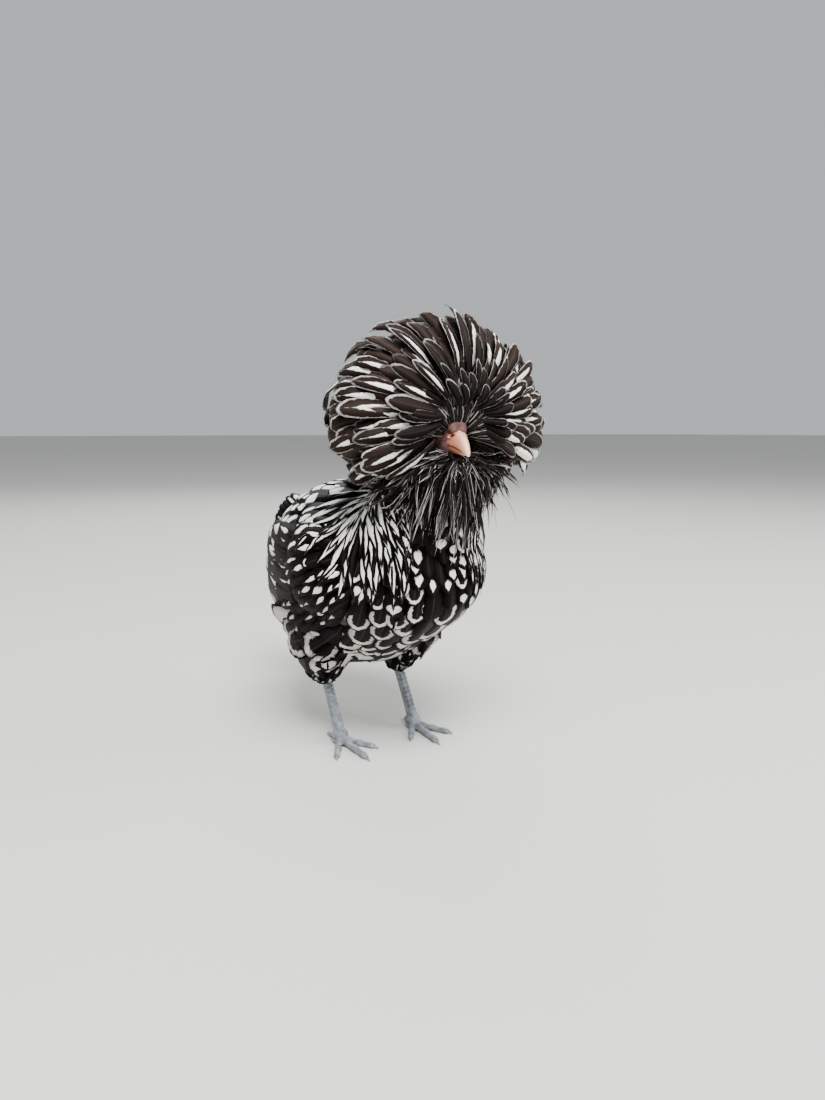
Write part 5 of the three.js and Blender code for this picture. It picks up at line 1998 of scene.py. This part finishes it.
@dataclass
class Leg:
    """A shank with its plates, and a foot of four toes with scutes along their tops."""

    side: float
    out: float = 38.0
    hock: tuple[float, float] = (54, 62)
    ankle: tuple[float, float] = (8, -6)
    shank_at: tuple[float, ...] = (0, 0.12, 0.3, 0.7, 1)
    shank_wide: tuple[float, ...] = (6.2, 5.9, 4.5, 4.4, 5.2)
    shank_deep: tuple[float, ...] = (7.2, 6.9, 5.5, 5.3, 5.8)
    shank_steps: int = 26
    plates: int = 15
    plates_span: tuple[float, float] = (0.2, 0.95)
    plate: tuple[float, float, float] = (2.15, 1.9, 2.35)
    toes: tuple[Toe, ...] = (
        Toe(-33, 33, 3.5, 9),
        Toe(-3, 45, 3.9, 11),
        Toe(29, 36, 3.6, 9.5),
        Toe(172, 17, 3.0, 8),
    )
    sole: float = 0.25

    def x(self) -> float:
        """Where the leg stands across the hen."""
        return self.side * self.out

    def toe_line(self, toe: Toe) -> tuple[Vector, Vector]:
        """A toe's start on the floor, and the way from there to its end."""
        turn = math.radians(toe.heading) * self.side
        start, ahead = Vector((self.x(), self.ankle[0], FLOOR)), Vector((math.sin(turn), -math.cos(turn), 0))
        return start, ahead * toe.length

    def shank(self, bm: Shape) -> None:
        """Adds the shank's shaft and two rows of plates down its front."""
        top, low = Vector((self.x(), *self.hock)), Vector((self.x(), *self.ankle))
        along = (low - top).normalized()
        tilt = along.to_track_quat("-Z", "Y").to_matrix().to_4x4()
        for k in range(self.shank_steps + 1):
            t = k / self.shank_steps
            wide, deep = (np.interp(t, self.shank_at, sizes) for sizes in (self.shank_wide, self.shank_deep))
            ellipsoid(bm, top.lerp(low, t), (wide, deep, 4.2), tilt, 20, 12)
        ahead = Vector((0, -1, 0))
        ahead = (ahead - along * ahead.dot(along)).normalized()
        for k in range(self.plates):
            t = mix(*self.plates_span, k / (self.plates - 1))
            for shift in (-1, 1):
                centre = top.lerp(low, t) + ahead * 4.1 + Vector((shift * 1.75, 0, 0)) + along * shift * 1.1
                ellipsoid(bm, centre, self.plate, tilt, 14, 10)

    def foot(self, bm: Shape) -> None:
        """Adds ball, toes, pads and scutes."""
        ellipsoid(bm, (self.x(), self.ankle[0], FLOOR + 7), (7.3, 8.3, 6.4))
        ellipsoid(bm, (self.x(), self.ankle[0] - 1, FLOOR + 2.5), (7.8, 8.8, 2.5))
        for toe in self.toes:
            start, way = self.toe_line(toe)
            turn = way.to_track_quat("Y", "Z").to_matrix().to_4x4()
            steps = max(8, round(toe.length / 2.2))
            for k in range(steps + 1):
                t = k / steps
                # Three pads swell along the toe, which tapers to its claw.
                r = toe.radius * mix(1.0, 0.74, t) * (1 + 0.1 * math.cos(6.3 * (3 * t + 0.1)))
                centre = start + way * t + Vector((0, 0, r * 0.85))
                ellipsoid(bm, centre, (r * 0.98, 3.2, r * 0.85), turn, 16, 10)
                if 1 < k < steps:
                    ellipsoid(bm, centre + Vector((0, 0, r * 0.5)), (r * 0.72, 1.15, r * 0.55), turn, 12, 8)

    def flattened(self, bm: Shape) -> None:
        """Cuts the soles level and stands them on the floor."""
        geom = [*bm.verts, *bm.edges, *bm.faces]
        level = (0, 0, FLOOR + self.sole)
        bmesh.ops.bisect_plane(bm, geom=geom, plane_co=level, plane_no=(0, 0, -1), clear_outer=True)
        bmesh.ops.holes_fill(bm, edges=[e for e in bm.edges if e.is_boundary], sides=0)
        for vert in bm.verts:
            if vert.co.z < FLOOR + self.sole + 0.05:
                vert.co.z = FLOOR + 0.02

    def build(self, name: str) -> tuple[Piece, Piece]:
        """Makes leg and claws.

        Args:
            name: The side's name.

        Returns:
            The scaled leg and its claws.
        """
        bm = bmesh.new()
        self.shank(bm)
        self.foot(bm)
        leg = fused(bm, 0.62, 2)
        self.flattened(leg)
        claws = bmesh.new()
        for toe in self.toes:
            self.add_claw(claws, toe)
        bmesh.ops.recalc_face_normals(claws, faces=claws.faces)
        return object_from(leg, "leg_" + name), object_from(claws, "claws_" + name)

    def add_claw(self, bm: Shape, toe: Toe) -> None:
        """Adds one curved claw at a toe's end.

        Args:
            bm: Where it is added.
            toe: The toe.
        """
        start, way = self.toe_line(toe)
        ahead = way.normalized()
        root = np.array(start + way - ahead * 1.5)
        side = np.array(Vector((0, 0, 1)).cross(ahead))

        def place(share: float, angle: float) -> Array:
            """A point of the claw.

            Args:
                share: Share of its length.
                angle: Turn about it.

            Returns:
                The point.
            """
            blunt = min(1.0, math.sin(math.pi * share) * 5)
            thick = toe.radius * 0.56 * (1 - share) ** 0.7 * blunt
            height = toe.radius * (0.74 + 0.5 * share - 1.04 * share * share)
            rise = max(0.5, height) + thick * 1.15 * math.sin(angle)
            at = root + np.array(ahead) * (share * toe.claw) + side * (thick * math.cos(angle))
            return np.array([at[0], at[1], max(FLOOR + rise, FLOOR + 0.05)])

        wrapped(bm, place, 14, 18)


# Studio


@dataclass(frozen=True)
class SoftBox:
    """A square light: its name, place and side in metres, and power in watts."""

    name: str
    place: tuple[float, float, float]
    size: float
    power: float


@dataclass
class Studio:
    """Plain pale floor, soft light and the camera at the photograph's angle."""

    azimuth: float = -30.0
    pitch: float = 8.6
    focal_pixels: float = 794.0
    image: tuple[int, int] = (825, 1100)
    camera_at: tuple[float, float, float] = (-323.7, -617.9, 265.0)
    lit_height: float = 0.18
    sky_strength: float = 0.66
    lights: tuple[SoftBox, ...] = (
        SoftBox("key", (-0.5, -1.6, 2.6), 1.5, 235),
        SoftBox("fill", (2.0, -1.2, 1.4), 1.6, 46),
        SoftBox("rim", (0.6, 2.0, 1.9), 1.8, 36),
    )

    def build(self) -> None:
        """Makes floor, lights, world and camera."""
        self.floor()
        for light in self.lights:
            self.light(light)
        world = bpy.data.worlds.new("soft_sky")
        world.use_nodes = True
        background = world.node_tree.nodes["Background"]
        background.inputs["Color"].default_value = srgb("#e9edf0")
        background.inputs["Strength"].default_value = self.sky_strength
        bpy.context.scene.world = world
        self.camera()

    @staticmethod
    def floor() -> None:
        """Makes a floor out to where nothing shows its edge."""
        bm = bmesh.new()
        bmesh.ops.create_grid(bm, x_segments=1, y_segments=1, size=40.0)
        mesh = bpy.data.meshes.new("floor")
        bm.to_mesh(mesh)
        bm.free()
        floor = linked("floor", mesh)
        f = Finish("plain_floor")
        shader = f.node("BsdfPrincipled", Base_Color=srgb("#c9c8c4"), Roughness=0.9)
        floor.data.materials.append(f.shown(shader))

    def light(self, box: SoftBox) -> None:
        """Adds a soft box that faces the hen."""
        data = bpy.data.lights.new(box.name, "AREA")
        data.size = box.size
        data.energy = box.power
        lamp = linked(box.name, data)
        lamp.location = box.place
        to_hen = Vector((0, 0, self.lit_height)) - Vector(box.place)
        lamp.rotation_euler = to_hen.to_track_quat("-Z", "Y").to_euler()

    def camera(self) -> None:
        """Sets up the camera, level and with the photograph's angle of view."""
        data = bpy.data.cameras.new("camera")
        data.lens = self.focal_pixels / max(self.image) * data.sensor_width
        data.clip_start, data.clip_end = 0.02, 50.0
        camera = linked("camera", data)
        camera.location = Vector((np.array(self.camera_at) + SHIFT) * MM)
        camera.rotation_euler = (math.radians(90 - self.pitch), 0, math.radians(self.azimuth))
        bpy.context.scene.camera = camera


def body_alone() -> CoatSurface:
    """The body's surface without neck and limbs, which the wings are laid on."""
    bm = bmesh.new()
    BodyForm().add_to(bm)
    surface = CoatSurface(bm)
    bm.free()
    return surface


def main() -> None:
    """Builds the hen piece by piece."""
    logging.basicConfig(level=logging.INFO, format="%(message)s")
    Studio().build()
    skin, surface = Flesh().build()
    thighs = ("thigh_left", "thigh_right")
    worn(skin, SkinFinish().material(), "bare_skin", "torso", "neck", "head", "comb", *thighs)
    feather = FeatherFinish().material("silver_laced_feather_vane")
    for piece in BodyCoat(surface).build():
        worn(piece, feather, "body_feathers")
    for coat, *nodes in ((CrestCoat(), "crest"), (BeardCoat(), "beard"), (FaceRuff(),)):
        for piece in coat.build():
            worn(piece, feather, "dark_feathers", *nodes)
    for piece, (name, _) in zip(WingCoat(body_alone()).build(), SIDES):
        worn(piece, feather, "dark_feathers", "wing_" + name)
    for piece in TailCoat().build():
        worn(piece, feather, "dark_feathers", "tail")
    horn = HornFinish().material()
    for piece, node in zip(Bill().build(), ("bill_upper", "bill_lower")):
        worn(piece, horn, "bill", node)
    wet = EyeFinish().material()
    for piece, (name, _) in zip(Eyes().build(), SIDES):
        worn(piece, wet, "eye", "eye_" + name)
    scales, claw = ScaleFinish().material(), ClawFinish().material()
    for name, side in SIDES:
        leg, claws = Leg(side).build(name)
        worn(leg, scales, "leg_scales", "shank_" + name, "foot_" + name)
        worn(claws, claw, "claws", *(f"claw_{name}_{toe}" for toe in ("inner", "middle", "outer", "hind")))


if __name__ == "__main__":
    main()
